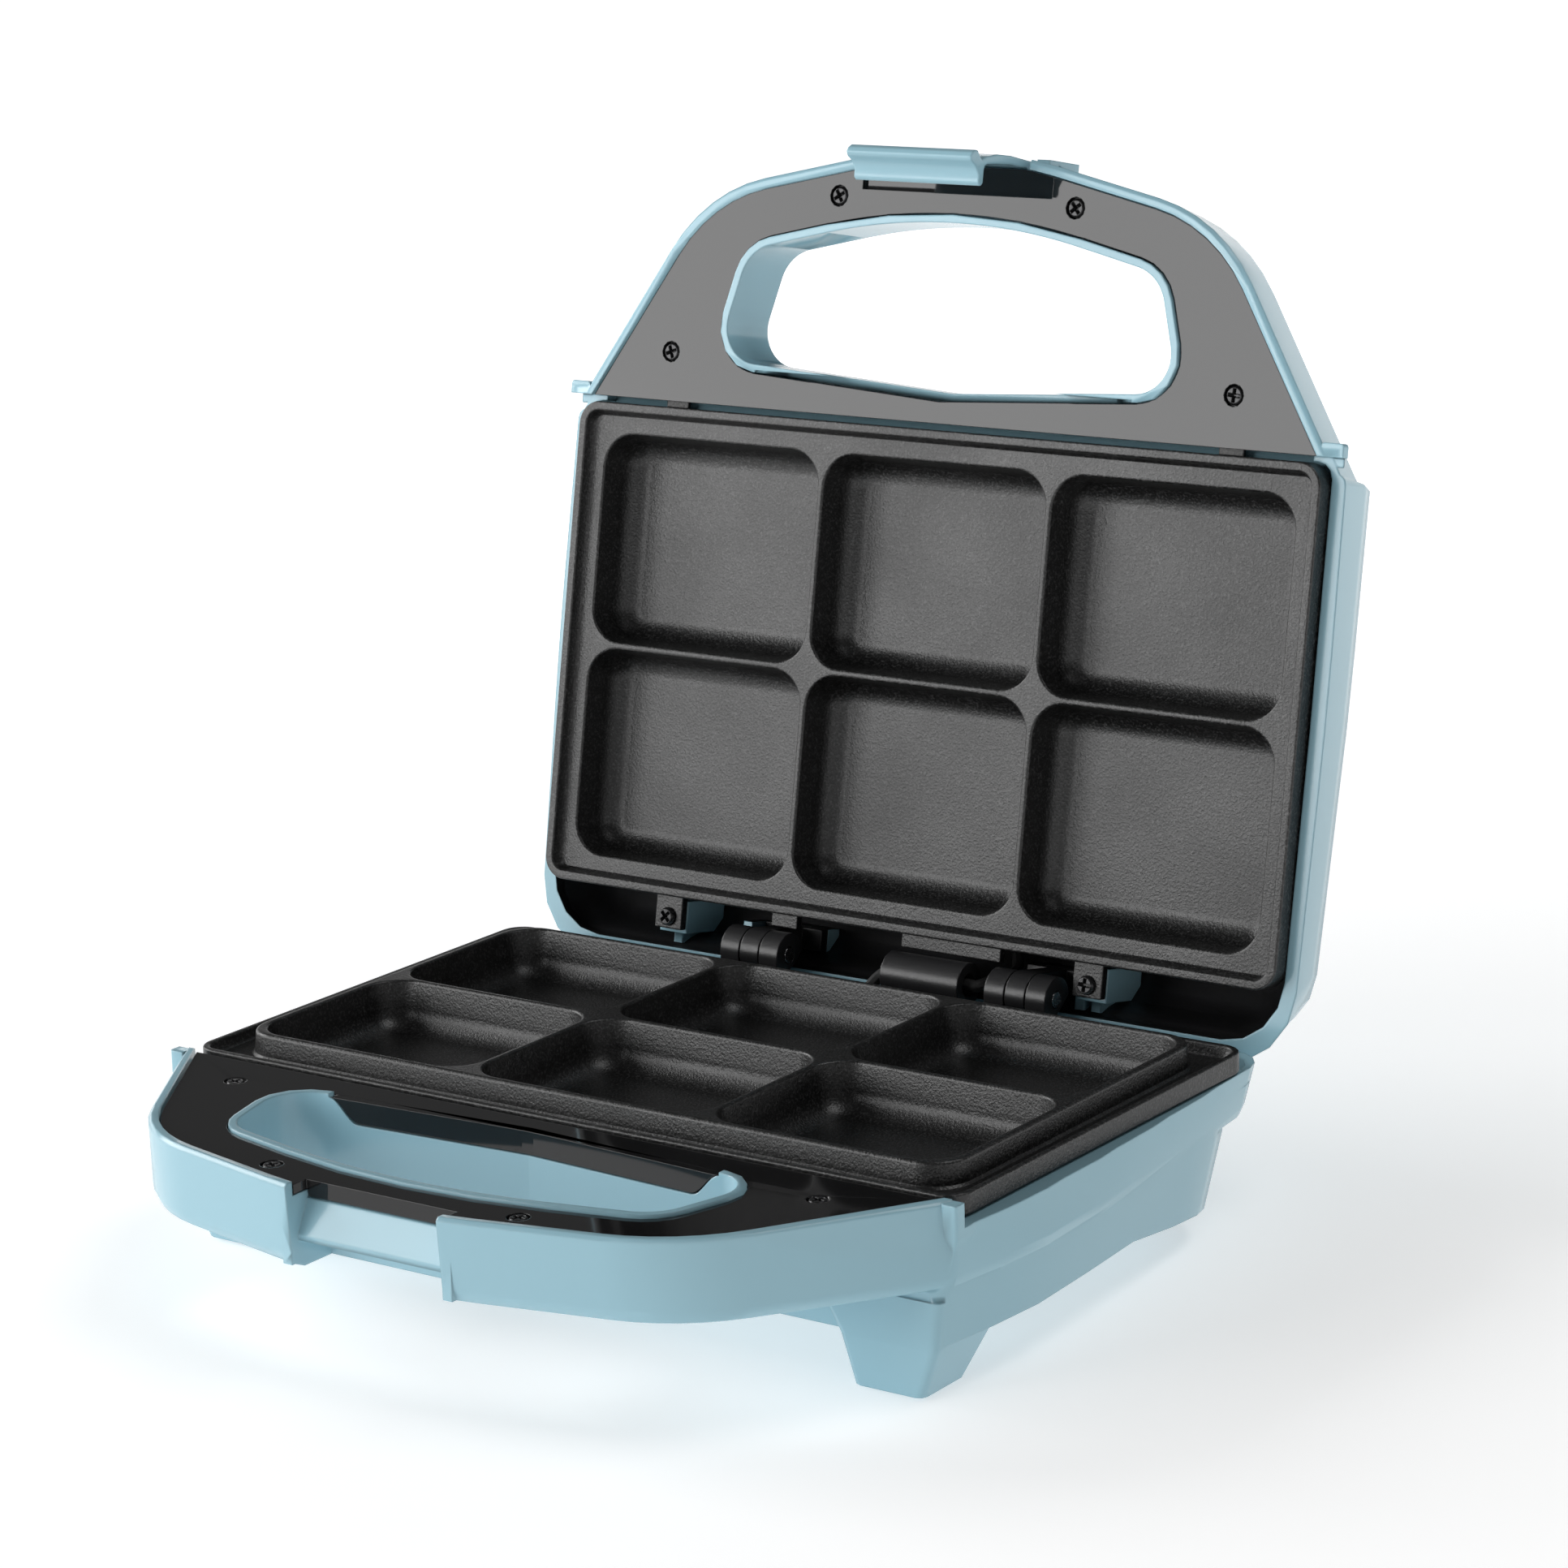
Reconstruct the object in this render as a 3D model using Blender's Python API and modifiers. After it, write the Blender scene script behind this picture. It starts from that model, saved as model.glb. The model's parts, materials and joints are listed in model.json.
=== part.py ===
"""Electric cake maker: a clamshell cooker with two cast plates of six cavities each.

Run with: blender --background --python part.py
Units are metres and +Z is up. The model is drawn in one frame: X to the right, Y to the back from
the plates' front edge, Z up from the lower plate's lip. Lid pieces are drawn as they lie with the
lid closed, and an empty on the hinge axis then opens them.
"""
import math

import bmesh
import bpy
from mathutils import Matrix, Vector

# Plates and the way they meet
plate_width = 0.220
plate_depth = 0.1262
plate_corner_radius = 0.006
plate_wall = 0.002
lip_width = 0.0017
lip_round = 0.0005
lip_gap = 0.0005
trough_depth = 0.0028
island_height = 0.0032
island_side_inset = 0.0082
island_front_inset = 0.0083
island_back_inset = 0.0079
island_corner_radius = 0.009
field_recess = 0.003
field_lip_width = 0.0024
lower_skirt_height = 0.0052
upper_skirt_height = 0.0065
pan_taper = 0.004

# Cavities
middle_cavity_share = 0.3005
upper_side_border = 0.00725
lower_side_border = 0.01045
front_border = 0.0081
back_border = 0.0075
lower_length_loss = 0.0022
cavity_ridge = 0.0019
cavity_depth = 0.012
cavity_corner_radius = 0.0088
cavity_draft = 0.001
cavity_floor_fillet = 0.006

# Hinge and opening
hinge_gap = 0.010
hinge_rise = 0.0004
lid_open_angle = math.radians(100.9)
hinge_pin_radius = 0.002
hinge_pin_clearance = 0.0003
knuckle_radius = 0.0057
knuckle_gap = 0.0004
knuckle_width = 0.0056
left_hinge_x = -0.0382
right_hinge_x = 0.0418
hinge_block_depth = 0.0145
hinge_shelf_drop = 0.025
hinge_shelf_inset = 0.0021
hinge_arm_reach = 0.0165
hinge_arm_thickness = 0.0056

# Heights of the two shells, from the lower lip
parting_height = 0.046
base_side_rim_drop = 0.0056
base_tier_drop = 0.020
base_skirt_drop = 0.033
rear_skirt_drop = 0.040
skirt_slope_y = (0.075, 0.097, 0.128)
skirt_slope_shares = (0.0, 0.5, 1.0)
lid_side_rim_rise = 0.0055
lid_handle_rise = 0.020
lid_wall_rise = 0.019
lid_dome_radius = 0.0115
lid_crown = 0.007
lid_rear_fall = 0.004
shell_wall = 0.0026
shell_draft = 0.0011
lid_draft = 0.0023
shell_edge_round = 0.004

# Plan of the shells
base_side_margin = 0.0028
base_rim_bulge = 0.001
base_rim_peak_share = 0.333
base_rim_taper = 0.0027
base_tier_bulge = 0.0035
base_tier_peak_share = 0.234
base_tier_taper = 0.0063
tier_root_reach = 0.005
lid_side_margin = 0.0045
lid_side_bulge = 0.0006
lid_rear_taper = 0.0008
shell_rear_radius = 0.016
base_rear_radius = 0.011
lid_front_y = 0.0018
lid_front_radius = 0.003
lid_back_gap = 0.0208
lid_back_slope = 0.0045
base_side_shares = (0.1, 0.234, 0.42, 0.62, 0.82)
lid_side_shares = (0.36, 0.5, 0.64)
front_swell_share = 2.0
rear_fall_share = 1.25
shoulder_root_radius = 0.008
root_overlap = 0.0003
stop_gap = 0.0003
mouth_ledge_height = 0.003
mouth_ledge_reach = 0.0016
mouth_ledge_gap = 0.0003
base_tab_width = 0.004
base_tab_drop = 0.008
lid_tab_width = 0.006
lid_tab_drop = 0.0024
corner_tab_length = 0.0034
corner_tab_taper = 0.0014
corner_tab_radius = 0.0008

# Handle, its hand hole and its panel
panel_side_inset = 0.0028
panel_end_gap = 0.0016
handle_reach = 0.0668
handle_shoulder_shares = (0.694, 0.805)
handle_tip_share = 1.048
handle_shoulder_radius_share = 0.61
handle_tip_radius_share = 1.2463
handle_rim = 0.0028
handle_rim_proud = 0.0008
panel_drop = 0.0005
lid_panel_rise = 0.0026
panel_thickness = 0.0022
panel_gap = 0.0004
panel_ledge = 0.0012
handle_side_grip = 0.0389
handle_front_grip = 0.0141
hole_back_gap = 0.0073
hole_rear_corner_shares = (1.042, 0.095)
hole_front_corner_shares = (0.914, 0.798)
hole_tip_share = 1.112
hole_rear_radius = 0.0116
hole_front_radius = 0.013
hole_tip_radius_share = 2.489
sleeve_wall = 0.002
sleeve_step_drop = 0.0058
sleeve_step_side_gap = 0.0203
sleeve_step_ramp = 0.008
divider_front_gap = 0.0022
divider_back_gap = 0.0029
divider_drop = 0.009

# Panel screws
side_screw_shares = (0.779, 0.214)
front_screw_share = 0.3256
front_screw_inset = 0.0057
screw_head_radius = 0.00245
screw_head_height = 0.0013
screw_shank_radius = 0.00125
screw_length = 0.009
screw_clearance = 0.0003
screw_boss_radius = 0.0036
screw_recess = 0.0015

# Latch
latch_width = 0.0365
latch_side_gap = 0.00305
latch_pivot_inset = 0.0012
latch_pivot_z = 0.0095
latch_boss_radius = 0.0029
latch_pin_radius = 0.0012
latch_pin_clearance = 0.0003
latch_pin_grip = 0.0035
latch_wall = 0.0021
latch_head_room = 0.0061
latch_arm_reach = 0.0015
latch_bow = 0.0004
latch_neck_inset = 0.0013
latch_neck_drop = 0.0151
latch_flare_drop = 0.0178
latch_foot_drop = 0.0205
latch_hook_inset = 0.0069
latch_hook_gap = 0.0004
latch_hook_thickness = 0.0022
notch_inset = 0.0061
notch_inner_drop = 0.005
bar_lip_inset = 0.0025
bar_lip_drop = 0.0122
bar_lip_height = 0.0014
hook_pocket_inset = 0.0132
latch_block_depth = 0.0153
stop_lug_width = 0.0038
lid_pocket_half_width = 0.028
lid_pocket_inset = 0.0081
lid_pocket_depth = 0.0012

# Legs and feet
leg_foot_insets = (0.0275, 0.0092)
leg_foot_y = (-0.0055, 0.012)
leg_root_insets = (0.0363, 0.0030)
leg_root_y = (-0.0075, 0.027)
leg_knee_insets = (0.0303, 0.0046)
leg_knee_y = (-0.0068, 0.0175)
leg_root_drop = 0.022
leg_knee_drop = 0.0335
rear_leg_insets = (0.0468, 0.0298)
rear_leg_back_gaps = (0.0258, 0.0118)
rear_leg_flare = 0.003
leg_corner_radius = 0.002
foot_proud = 0.0006
foot_pad_height = 0.0026
foot_pad_inset = 0.0035
foot_pad_gap = 0.0003

# Lower tier of the base
tier_side_inset = 0.0026
lower_tier_bulge = 0.0035
lower_tier_taper = 0.0045
tier_front_y = -0.0072
tier_back_inset = 0.0036
tier_draft_share = 0.17
tier_rear_share = 0.13
tier_corner_radius = 0.024
tier_front_radius = 0.004

# Underside vents and plate posts
vent_length = 0.030
vent_width = 0.003
vent_pitch = 0.009
vent_count = 5
vent_row_x = 0.062
post_share = 0.2273
post_radius = 0.0045
plate_boss_radius = 0.004
plate_boss_height = 0.0035
plate_screw_radius = 0.0016
plate_screw_head_radius = 0.003
plate_screw_head_height = 0.002

# Upper plate lugs, with their screws
lug_thickness = 0.0024
lug_reach = 0.0088
left_lug_x = -0.0705
right_lug_x = 0.0570
lug_half_width = 0.0042
lug_screw_reach = 0.0056
lug_lift = 0.003
guard_lug_x = (0.002, 0.0315)
guard_lug_reach = 0.0037
narrow_lug_x = (-0.038, -0.030)
lid_post_radius = 0.0042
front_tab_inset = 0.0248
front_tab_reach = 0.0078
front_tab_half_width = 0.0035
front_tab_hole_y = -0.0044

# Heating elements
element_radius = 0.00325
element_gap = 0.0003
element_side_inset = 0.024
element_front_y = 0.020
element_back_inset = 0.0202
element_corner_radius = 0.016
element_end_x = 0.014
element_pin_radius = 0.0015
element_pin_length = 0.010
clamp_width = 0.008
clamp_thickness = 0.001
clamp_foot = 0.006

# Heat shields
shield_thickness = 0.0008
lower_shield_inset = 0.0066
upper_shield_inset = 0.0055
lower_shield_front = 0.0056
upper_shield_front = 0.003
shield_back_inset = 0.005
shield_corner_radius = 0.008
shield_gap_to_element = 0.0006
lower_shield_rim_drop = 0.0068
upper_shield_rim_rise = 0.0085
shield_hole_clearance = 0.001
lower_shield_bevel = (0.002, 0.002)
upper_shield_bevel = (0.0116, 0.0093)

# Parts on the back of the upper plate, and the lights
thermostat_radius = 0.008
thermostat_height = 0.0065
thermostat_x = -0.020
thermostat_flange = 0.0035
fuse_radius = 0.0023
fuse_length = 0.013
fuse_x = 0.018
light_x = 0.012
light_y = 0.018
light_radius = 0.0032
light_flange_radius = 0.0046
light_length = 0.0045
light_clearance = 0.0003
light_proud = 0.0008

# Wiring and mains entry
lead_radius = 0.0016
guard_x = (0.002, 0.0250)
guard_bore = 0.0030
guard_radius = 0.0057
guard_foot_drop = 0.0125
terminal_size = (0.024, 0.0085, 0.010)
terminal_x = -0.0145
terminal_hinge_gap = 0.0104
terminal_drop = 0.0168
terminal_well_radius = 0.0019
terminal_well_depth = 0.004
gland_x = -0.060
gland_drop = 0.0265
gland_flange_radius = 0.006
gland_flange_length = 0.0018
gland_body_radius = 0.0046
gland_body_length = 0.0045
gland_bore_radius = 0.003
gland_clearance = 0.0003

# Working values
overrun = 0.002
weld_distance = 0.00001
smallest_radius = 0.0003
seat_gap = 0.0003
arc_steps = 4
round_steps = 12

# Sizes that follow from the ones above
base_half_width = plate_width / 2 + base_side_margin
lid_half_width = plate_width / 2 + lid_side_margin
panel_half_width = plate_width / 2 - panel_side_inset
hole_half_width = panel_half_width - handle_side_grip
hole_length = handle_reach - hole_back_gap - handle_front_grip
sleeve_step_half_width = hole_half_width - sleeve_step_side_gap
middle_cavity_width = plate_width * middle_cavity_share
side_space = (plate_width - middle_cavity_width) / 2 - cavity_ridge
upper_side_cavity_width = side_space - upper_side_border
lower_side_cavity_width = side_space - lower_side_border
upper_cavity_length = (plate_depth - cavity_ridge - front_border - back_border) / 2
lower_cavity_length = upper_cavity_length - lower_length_loss
cavity_centre_y = front_border + upper_cavity_length + cavity_ridge / 2
post_x = plate_width * post_share
post_y = (
    cavity_centre_y - (lower_cavity_length + cavity_ridge) / 2,
    cavity_centre_y + (lower_cavity_length + cavity_ridge) / 2)
element_half_width = plate_width / 2 - element_side_inset
element_back_y = plate_depth - element_back_inset
shield_back_y = plate_depth - shield_back_inset
front_tab_x = panel_half_width - front_tab_inset
lug_screw_y = plate_depth + lug_screw_reach
hinge_y = plate_depth + hinge_gap
hinge_z = hinge_rise
terminal_y = hinge_y - terminal_hinge_gap
latch_pivot_y = latch_pivot_inset - handle_reach
notch_depth_y = notch_inset - handle_reach
bar_lip_y = bar_lip_inset - handle_reach
hook_pocket_y = hook_pocket_inset - handle_reach
lid_rib_back = plate_depth + lid_back_gap - lid_back_slope - lid_draft - shell_wall / 2
lid_rib_top = lid_wall_rise - lid_rear_fall + shell_wall
lid_post_top = lid_wall_rise + lid_dome_radius * 0.3
lid_dome_rise = lid_wall_rise + lid_dome_radius
lid_crown_rise = lid_dome_rise + lid_crown
base_rim_side = (
    base_half_width, base_rim_bulge, plate_depth * base_rim_peak_share, base_rim_taper, base_side_shares)
base_tier_side = (
    base_half_width, base_tier_bulge, plate_depth * base_tier_peak_share, base_tier_taper, base_side_shares)
lower_tier_side = (
    base_half_width - tier_side_inset, lower_tier_bulge, plate_depth * base_tier_peak_share,
    lower_tier_taper, base_side_shares)
lid_side = (lid_half_width, lid_side_bulge, plate_depth / 2, lid_rear_taper, lid_side_shares)


def clear_scene():
    for old in list(bpy.data.objects):
        bpy.data.objects.remove(old, do_unlink=True)


def new_collection(name):
    made = bpy.data.collections.new(name)
    bpy.context.scene.collection.children.link(made)
    return made


def new_material(name, colour, roughness, metallic=0.0, alpha=1.0):
    material = bpy.data.materials.new(name)
    material.use_nodes = True
    shader = material.node_tree.nodes["Principled BSDF"]
    shader.inputs["Base Color"].default_value = (*colour, 1.0)
    shader.inputs["Roughness"].default_value = roughness
    shader.inputs["Metallic"].default_value = metallic
    shader.inputs["Alpha"].default_value = alpha
    return material


def new_frame(name, parent, location):
    """An empty that pieces are placed in."""
    frame = bpy.data.objects.new(name, None)
    parts.objects.link(frame)
    frame.parent = parent
    frame.location = location
    return frame


def add_piece(name, mesh, frame, material, location=(0, 0, 0)):
    piece = bpy.data.objects.new(name, mesh)
    parts.objects.link(piece)
    piece.parent = frame
    piece.location = location
    mesh.materials.append(material)
    mesh.shade_smooth()
    mesh.set_sharp_from_angle(angle=math.radians(30))
    return piece


def add_copies(name, mesh, frame, material, places):
    """Numbered pieces of one shape. The mesh is shared by them all."""
    for number, place in enumerate(places, start=1):
        piece = bpy.data.objects.new(name + "_" + str(number), mesh)
        parts.objects.link(piece)
        piece.parent = frame
        piece.location = place
    mesh.materials.append(material)
    mesh.shade_smooth()
    mesh.set_sharp_from_angle(angle=math.radians(30))


def add_tool(name, mesh, frame, location=(0, 0, 0)):
    """A solid that only cuts or joins other pieces."""
    tool = bpy.data.objects.new(name, mesh)
    tools.objects.link(tool)
    tool.parent = frame
    tool.location = location
    tool.hide_render = True
    tool.display_type = "WIRE"
    return tool


def combine(target, tool, operation):
    modifier = target.modifiers.new(operation.lower() + " " + tool.name, "BOOLEAN")
    modifier.operation = operation
    modifier.solver = "EXACT"
    modifier.object = tool


def cut(target, *found):
    for tool in found:
        combine(target, tool, "DIFFERENCE")


def fuse(target, *found):
    for tool in found:
        combine(target, tool, "UNION")


# Outlines. A corner is (x, y, radius, steps); an outline runs anticlockwise seen from above.

def offset_corners(corners, distance):
    """The same outline moved outward by distance, or inward where it is negative."""
    moved = []
    for place, (x, y, radius, steps) in enumerate(corners):
        before = Vector(corners[place - 1][:2])
        here = Vector((x, y))
        after = Vector(corners[(place + 1) % len(corners)][:2])
        back = (here - before).normalized()
        ahead = (after - here).normalized()
        normal_back = Vector((back.y, -back.x))
        normal_ahead = Vector((ahead.y, -ahead.x))
        shift = (normal_back + normal_ahead) * (distance / (1 + normal_back.dot(normal_ahead)))
        turn = back.x * ahead.y - back.y * ahead.x
        if steps:
            radius = max(radius + math.copysign(distance, distance * turn), smallest_radius)
        moved.append((x + shift.x, y + shift.y, radius, steps))
    return moved


def outline_points(corners):
    """The outline's points, each corner rounded by an arc of its own radius and steps."""
    points = []
    for place, (x, y, radius, steps) in enumerate(corners):
        here = Vector((x, y))
        if not steps:
            points.append((x, y))
            continue
        back = (Vector(corners[place - 1][:2]) - here).normalized()
        ahead = (Vector(corners[(place + 1) % len(corners)][:2]) - here).normalized()
        half = back.angle(ahead) / 2
        centre = here + (back + ahead).normalized() * (radius / math.sin(half))
        start = here + back * (radius / math.tan(half)) - centre
        end = here + ahead * (radius / math.tan(half)) - centre
        sweep = start.angle_signed(end)
        for step in range(steps + 1):
            turned = -sweep * step / steps
            points.append((
                centre.x + start.x * math.cos(turned) - start.y * math.sin(turned),
                centre.y + start.x * math.sin(turned) + start.y * math.cos(turned)))
    return points


def mirrored(right_half):
    """A whole outline from its right half, which runs from the front to the back."""
    left = [(-x, y, radius, steps) for x, y, radius, steps in reversed(right_half) if x]
    return list(right_half) + left


def rectangle(half_width, front, back, radius, steps=arc_steps):
    return mirrored([(half_width, front, radius, steps), (half_width, back, radius, steps)])


def box_corners(x_range, y_range, radius):
    left, right = x_range
    front, back = y_range
    return [
        (left, front, radius, 2), (right, front, radius, 2),
        (right, back, radius, 2), (left, back, radius, 2)]


def circle_points(x, y, radius, steps=round_steps):
    turns = [2 * math.pi * step / steps for step in range(steps)]
    return [(x + radius * math.cos(turn), y + radius * math.sin(turn)) for turn in turns]


# Meshes

def loft_mesh(name, rings):
    """A closed solid through rings of (corners, inset, z), with flat ends."""
    made = bmesh.new()
    loops = []
    for corners, inset, z in rings:
        points = outline_points(offset_corners(corners, -inset))
        loops.append([made.verts.new((x, y, z)) for x, y in points])
    for low, high in zip(loops, loops[1:]):
        for place in range(len(low)):
            after = (place + 1) % len(low)
            made.faces.new((low[place], low[after], high[after], high[place]))
    made.faces.new(loops[0])
    made.faces.new(loops[-1])
    bmesh.ops.recalc_face_normals(made, faces=made.faces)
    return to_mesh(name, made)


def to_mesh(name, made):
    mesh = bpy.data.meshes.new(name)
    made.to_mesh(mesh)
    made.free()
    return mesh


def mesh_of_curve(name, curve, shift=(0, 0, 0), turn=None):
    """A curve's solid as a mesh, with its caps welded on."""
    guide = bpy.data.objects.new(name + " curve", curve)
    tools.objects.link(guide)
    bpy.context.view_layer.update()
    graph = bpy.context.evaluated_depsgraph_get()
    mesh = bpy.data.meshes.new_from_object(guide.evaluated_get(graph))
    bpy.data.objects.remove(guide, do_unlink=True)
    made = bmesh.new()
    made.from_mesh(mesh)
    bmesh.ops.remove_doubles(made, verts=made.verts, dist=weld_distance)
    if turn is not None:
        bmesh.ops.transform(made, matrix=turn, verts=made.verts)
    bmesh.ops.translate(made, vec=shift, verts=made.verts)
    bmesh.ops.recalc_face_normals(made, faces=made.faces)
    made.to_mesh(mesh)
    made.free()
    mesh.name = name
    return mesh


def flat_curve(outlines, thickness):
    curve = bpy.data.curves.new("outline", "CURVE")
    curve.dimensions = "2D"
    curve.fill_mode = "BOTH"
    curve.extrude = thickness / 2
    for points in outlines:
        spline = curve.splines.new("POLY")
        spline.points.add(len(points) - 1)
        for point, (x, y) in zip(spline.points, points):
            point.co = (x, y, 0, 1)
        spline.use_cyclic_u = True
    return curve


def slab_mesh(name, outlines, low, high):
    """A flat piece between two heights. Outlines inside the first one are holes."""
    curve = flat_curve(outlines, high - low)
    return mesh_of_curve(name, curve, shift=(0, 0, (low + high) / 2))


def side_profile_mesh(name, points, left, right):
    """A profile of (y, z) points carried along X from left to right."""
    made = bmesh.new()
    ends = [[made.verts.new((x, y, z)) for y, z in points] for x in (left, right)]
    for place in range(len(points)):
        after = (place + 1) % len(points)
        made.faces.new((ends[0][place], ends[0][after], ends[1][after], ends[1][place]))
    made.faces.new(ends[0])
    made.faces.new(ends[1])
    bmesh.ops.recalc_face_normals(made, faces=made.faces)
    return to_mesh(name, made)


def tube_mesh(name, points, radius, sides=8):
    curve = bpy.data.curves.new(name, "CURVE")
    curve.dimensions = "3D"
    curve.bevel_depth = radius
    curve.bevel_resolution = sides // 4
    curve.use_fill_caps = True
    spline = curve.splines.new("POLY")
    spline.points.add(len(points) - 1)
    for point, place in zip(spline.points, points):
        point.co = (*place, 1)
    return mesh_of_curve(name, curve)


def add_box(made, low, high):
    """A box between two corners, added to a bmesh."""
    box = bmesh.ops.create_cube(made, size=1)["verts"]
    low, high = Vector(low), Vector(high)
    bmesh.ops.scale(made, vec=high - low, verts=box)
    bmesh.ops.translate(made, vec=(low + high) / 2, verts=box)
    return box


def boxes_mesh(name, boxes):
    made = bmesh.new()
    for low, high in boxes:
        add_box(made, low, high)
    return to_mesh(name, made)


def add_cylinder(made, place, radius, length, axis="Z", steps=round_steps, end_radius=None):
    """A cylinder or cone from place along +axis, added to a bmesh."""
    end_radius = radius if end_radius is None else end_radius
    found = bmesh.ops.create_cone(
        made, cap_ends=True, segments=steps, radius1=radius, radius2=end_radius, depth=length)["verts"]
    bmesh.ops.translate(made, vec=(0, 0, length / 2), verts=found)
    towards = {"X": Vector((1, 0, 0)), "Y": Vector((0, 1, 0)), "Z": Vector((0, 0, 1))}[axis]
    turn = Vector((0, 0, 1)).rotation_difference(towards).to_matrix()
    bmesh.ops.rotate(made, cent=(0, 0, 0), matrix=turn, verts=found)
    bmesh.ops.translate(made, vec=place, verts=found)
    return found


def cylinders_mesh(name, places, radius, length, axis="Z", steps=round_steps):
    made = bmesh.new()
    for place in places:
        add_cylinder(made, place, radius, length, axis, steps)
    return to_mesh(name, made)


def turned_mesh(name, profile, steps=round_steps):
    """A solid turned about Z. The profile's (radius, z) points run down its outer side."""
    made = bmesh.new()
    verts = [made.verts.new((radius, 0, z)) for radius, z in profile]
    for first, second in zip(verts, verts[1:]):
        made.edges.new((first, second))
    guide = bpy.data.objects.new(name + " profile", to_mesh(name, made))
    tools.objects.link(guide)
    screw = guide.modifiers.new("turn", "SCREW")
    screw.steps = steps
    screw.render_steps = steps
    screw.use_merge_vertices = True
    screw.merge_threshold = weld_distance
    bpy.context.view_layer.update()
    graph = bpy.context.evaluated_depsgraph_get()
    mesh = bpy.data.meshes.new_from_object(guide.evaluated_get(graph))
    bpy.data.objects.remove(guide, do_unlink=True)
    made = bmesh.new()
    made.from_mesh(mesh)
    bmesh.ops.remove_doubles(made, verts=made.verts, dist=weld_distance)
    bmesh.ops.recalc_face_normals(made, faces=made.faces)
    made.to_mesh(mesh)
    made.free()
    mesh.name = name
    return mesh


def upside_down(mesh):
    """The same mesh turned half round about X."""
    made = bmesh.new()
    made.from_mesh(mesh)
    half_turn = Matrix.Rotation(math.pi, 3, "X")
    bmesh.ops.rotate(made, cent=(0, 0, 0), matrix=half_turn, verts=made.verts)
    made.to_mesh(mesh)
    made.free()
    return mesh


# Plan outlines of the object

def handle_half(reach_extra=0.0):
    """Tip and shoulder of the handle panel, right half."""
    reach = handle_reach + reach_extra
    shoulder_x, shoulder_y = handle_shoulder_shares
    return [
        (0.0, -reach * handle_tip_share, panel_half_width * handle_tip_radius_share, 6),
        (panel_half_width * shoulder_x, -reach * shoulder_y, reach * handle_shoulder_radius_share, 6)]


def panel_outline():
    end = (panel_half_width, -panel_end_gap, 0.0, 0)
    return mirrored(handle_half() + [end])


def hole_outline():
    rear_x, rear_y = hole_rear_corner_shares
    front_x, front_y = hole_front_corner_shares
    front = -hole_back_gap
    return mirrored([
        (0.0, front - hole_length * hole_tip_share, hole_half_width * hole_tip_radius_share, 4),
        (hole_half_width * front_x, front - hole_length * front_y, hole_front_radius, arc_steps),
        (hole_half_width * rear_x, front - hole_length * rear_y, hole_rear_radius, arc_steps),
        (0.0, front, 0.0, 0)])


def side_corners(side, back):
    """A body's gently bowed side, at the same places on every outline."""
    half_width, bulge, peak_y, taper, shares = side
    corners = []
    for share in shares:
        y = plate_depth * share
        if y < peak_y:
            x = half_width + bulge - bulge * (1 - y / peak_y) ** front_swell_share
        else:
            fall = ((y - peak_y) / (back - peak_y)) ** rear_fall_share
            x = half_width + bulge - (bulge + taper) * fall
        corners.append((x, y, 0.0, 0))
    return corners


def shell_outline(side, back, rear_radius, root_reach=None):
    """Body and handle in one outline. The side is (half width, bulge, its y, taper at the back, places)."""
    half_width, _, _, taper, _ = side
    tip, shoulder = handle_half()
    _, _, reach, _ = shoulder
    end = Vector((panel_half_width, -panel_end_gap))
    away = end + (end - Vector(shoulder[:2]))
    arch = offset_corners(mirrored([tip, shoulder, (away.x, away.y, 0.0, 0)]), handle_rim)
    tip, shoulder, far = arch[0], arch[1], arch[2]
    share = (half_width - shoulder[0]) / (far[0] - shoulder[0])
    root_y = shoulder[1] + share * (far[1] - shoulder[1])
    if root_reach is not None:
        root_y = -root_reach
    root = (half_width, root_y, shoulder_root_radius, 3)
    rear = (half_width - taper, back, rear_radius, arc_steps)
    return mirrored([tip, shoulder, root] + side_corners(side, back) + [rear])


def handle_outline(side):
    """The handle, with a root that ends inside the body, a little narrower than it."""
    corners = shell_outline(side, lid_back_y, shell_rear_radius)
    _, shoulder, root = corners[:3]
    x = root[0] - root_overlap
    return mirrored([
        corners[0], shoulder, (x, root[1] - root_overlap, root[2], root[3]), (x, plate_depth / 2, 0.0, 0)])


def body_outline(side, front, back, front_radius, rear_radius):
    """The body without its handle."""
    half_width, _, _, taper, _ = side
    return mirrored([(half_width, front, front_radius, 3)] + side_corners(side, back) + [
        (half_width - taper, back, rear_radius, arc_steps)])


def tier_ring(front, inset, z):
    """One ring of the lower tier or its hollow, which lean in below the step."""
    depth = max(-base_tier_drop - z, 0.0)
    back = base_back_y - tier_back_inset - tier_rear_share * depth
    corners = body_outline(lower_tier_side, front, back, tier_front_radius, tier_corner_radius)
    return corners, inset + tier_draft_share * depth, z


def mouth_outline(side_x, side, back, front_radius, rear_radius):
    """The opening of a shell's room beside the plate, in step with body_outline."""
    slight = (side_x, mouth_ledge_gap, side[2], mouth_ledge_gap, side[4])
    return body_outline(slight, -panel_end_gap / 5, back, front_radius, rear_radius)


def corner_tab_mesh(name, side_x, outer_x, width, low, drop):
    """The rim's end beside the plate, which widens to the body's side."""
    x_range = sorted((side_x * (outer_x - width), side_x * outer_x))
    corners = box_corners(x_range, (-panel_end_gap - corner_tab_length, overrun), corner_tab_radius)
    return loft_mesh(name, [
        (corners, corner_tab_taper, low + drop * 1.5), (corners, 0.0, low + drop), (corners, 0.0, low)])


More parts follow.
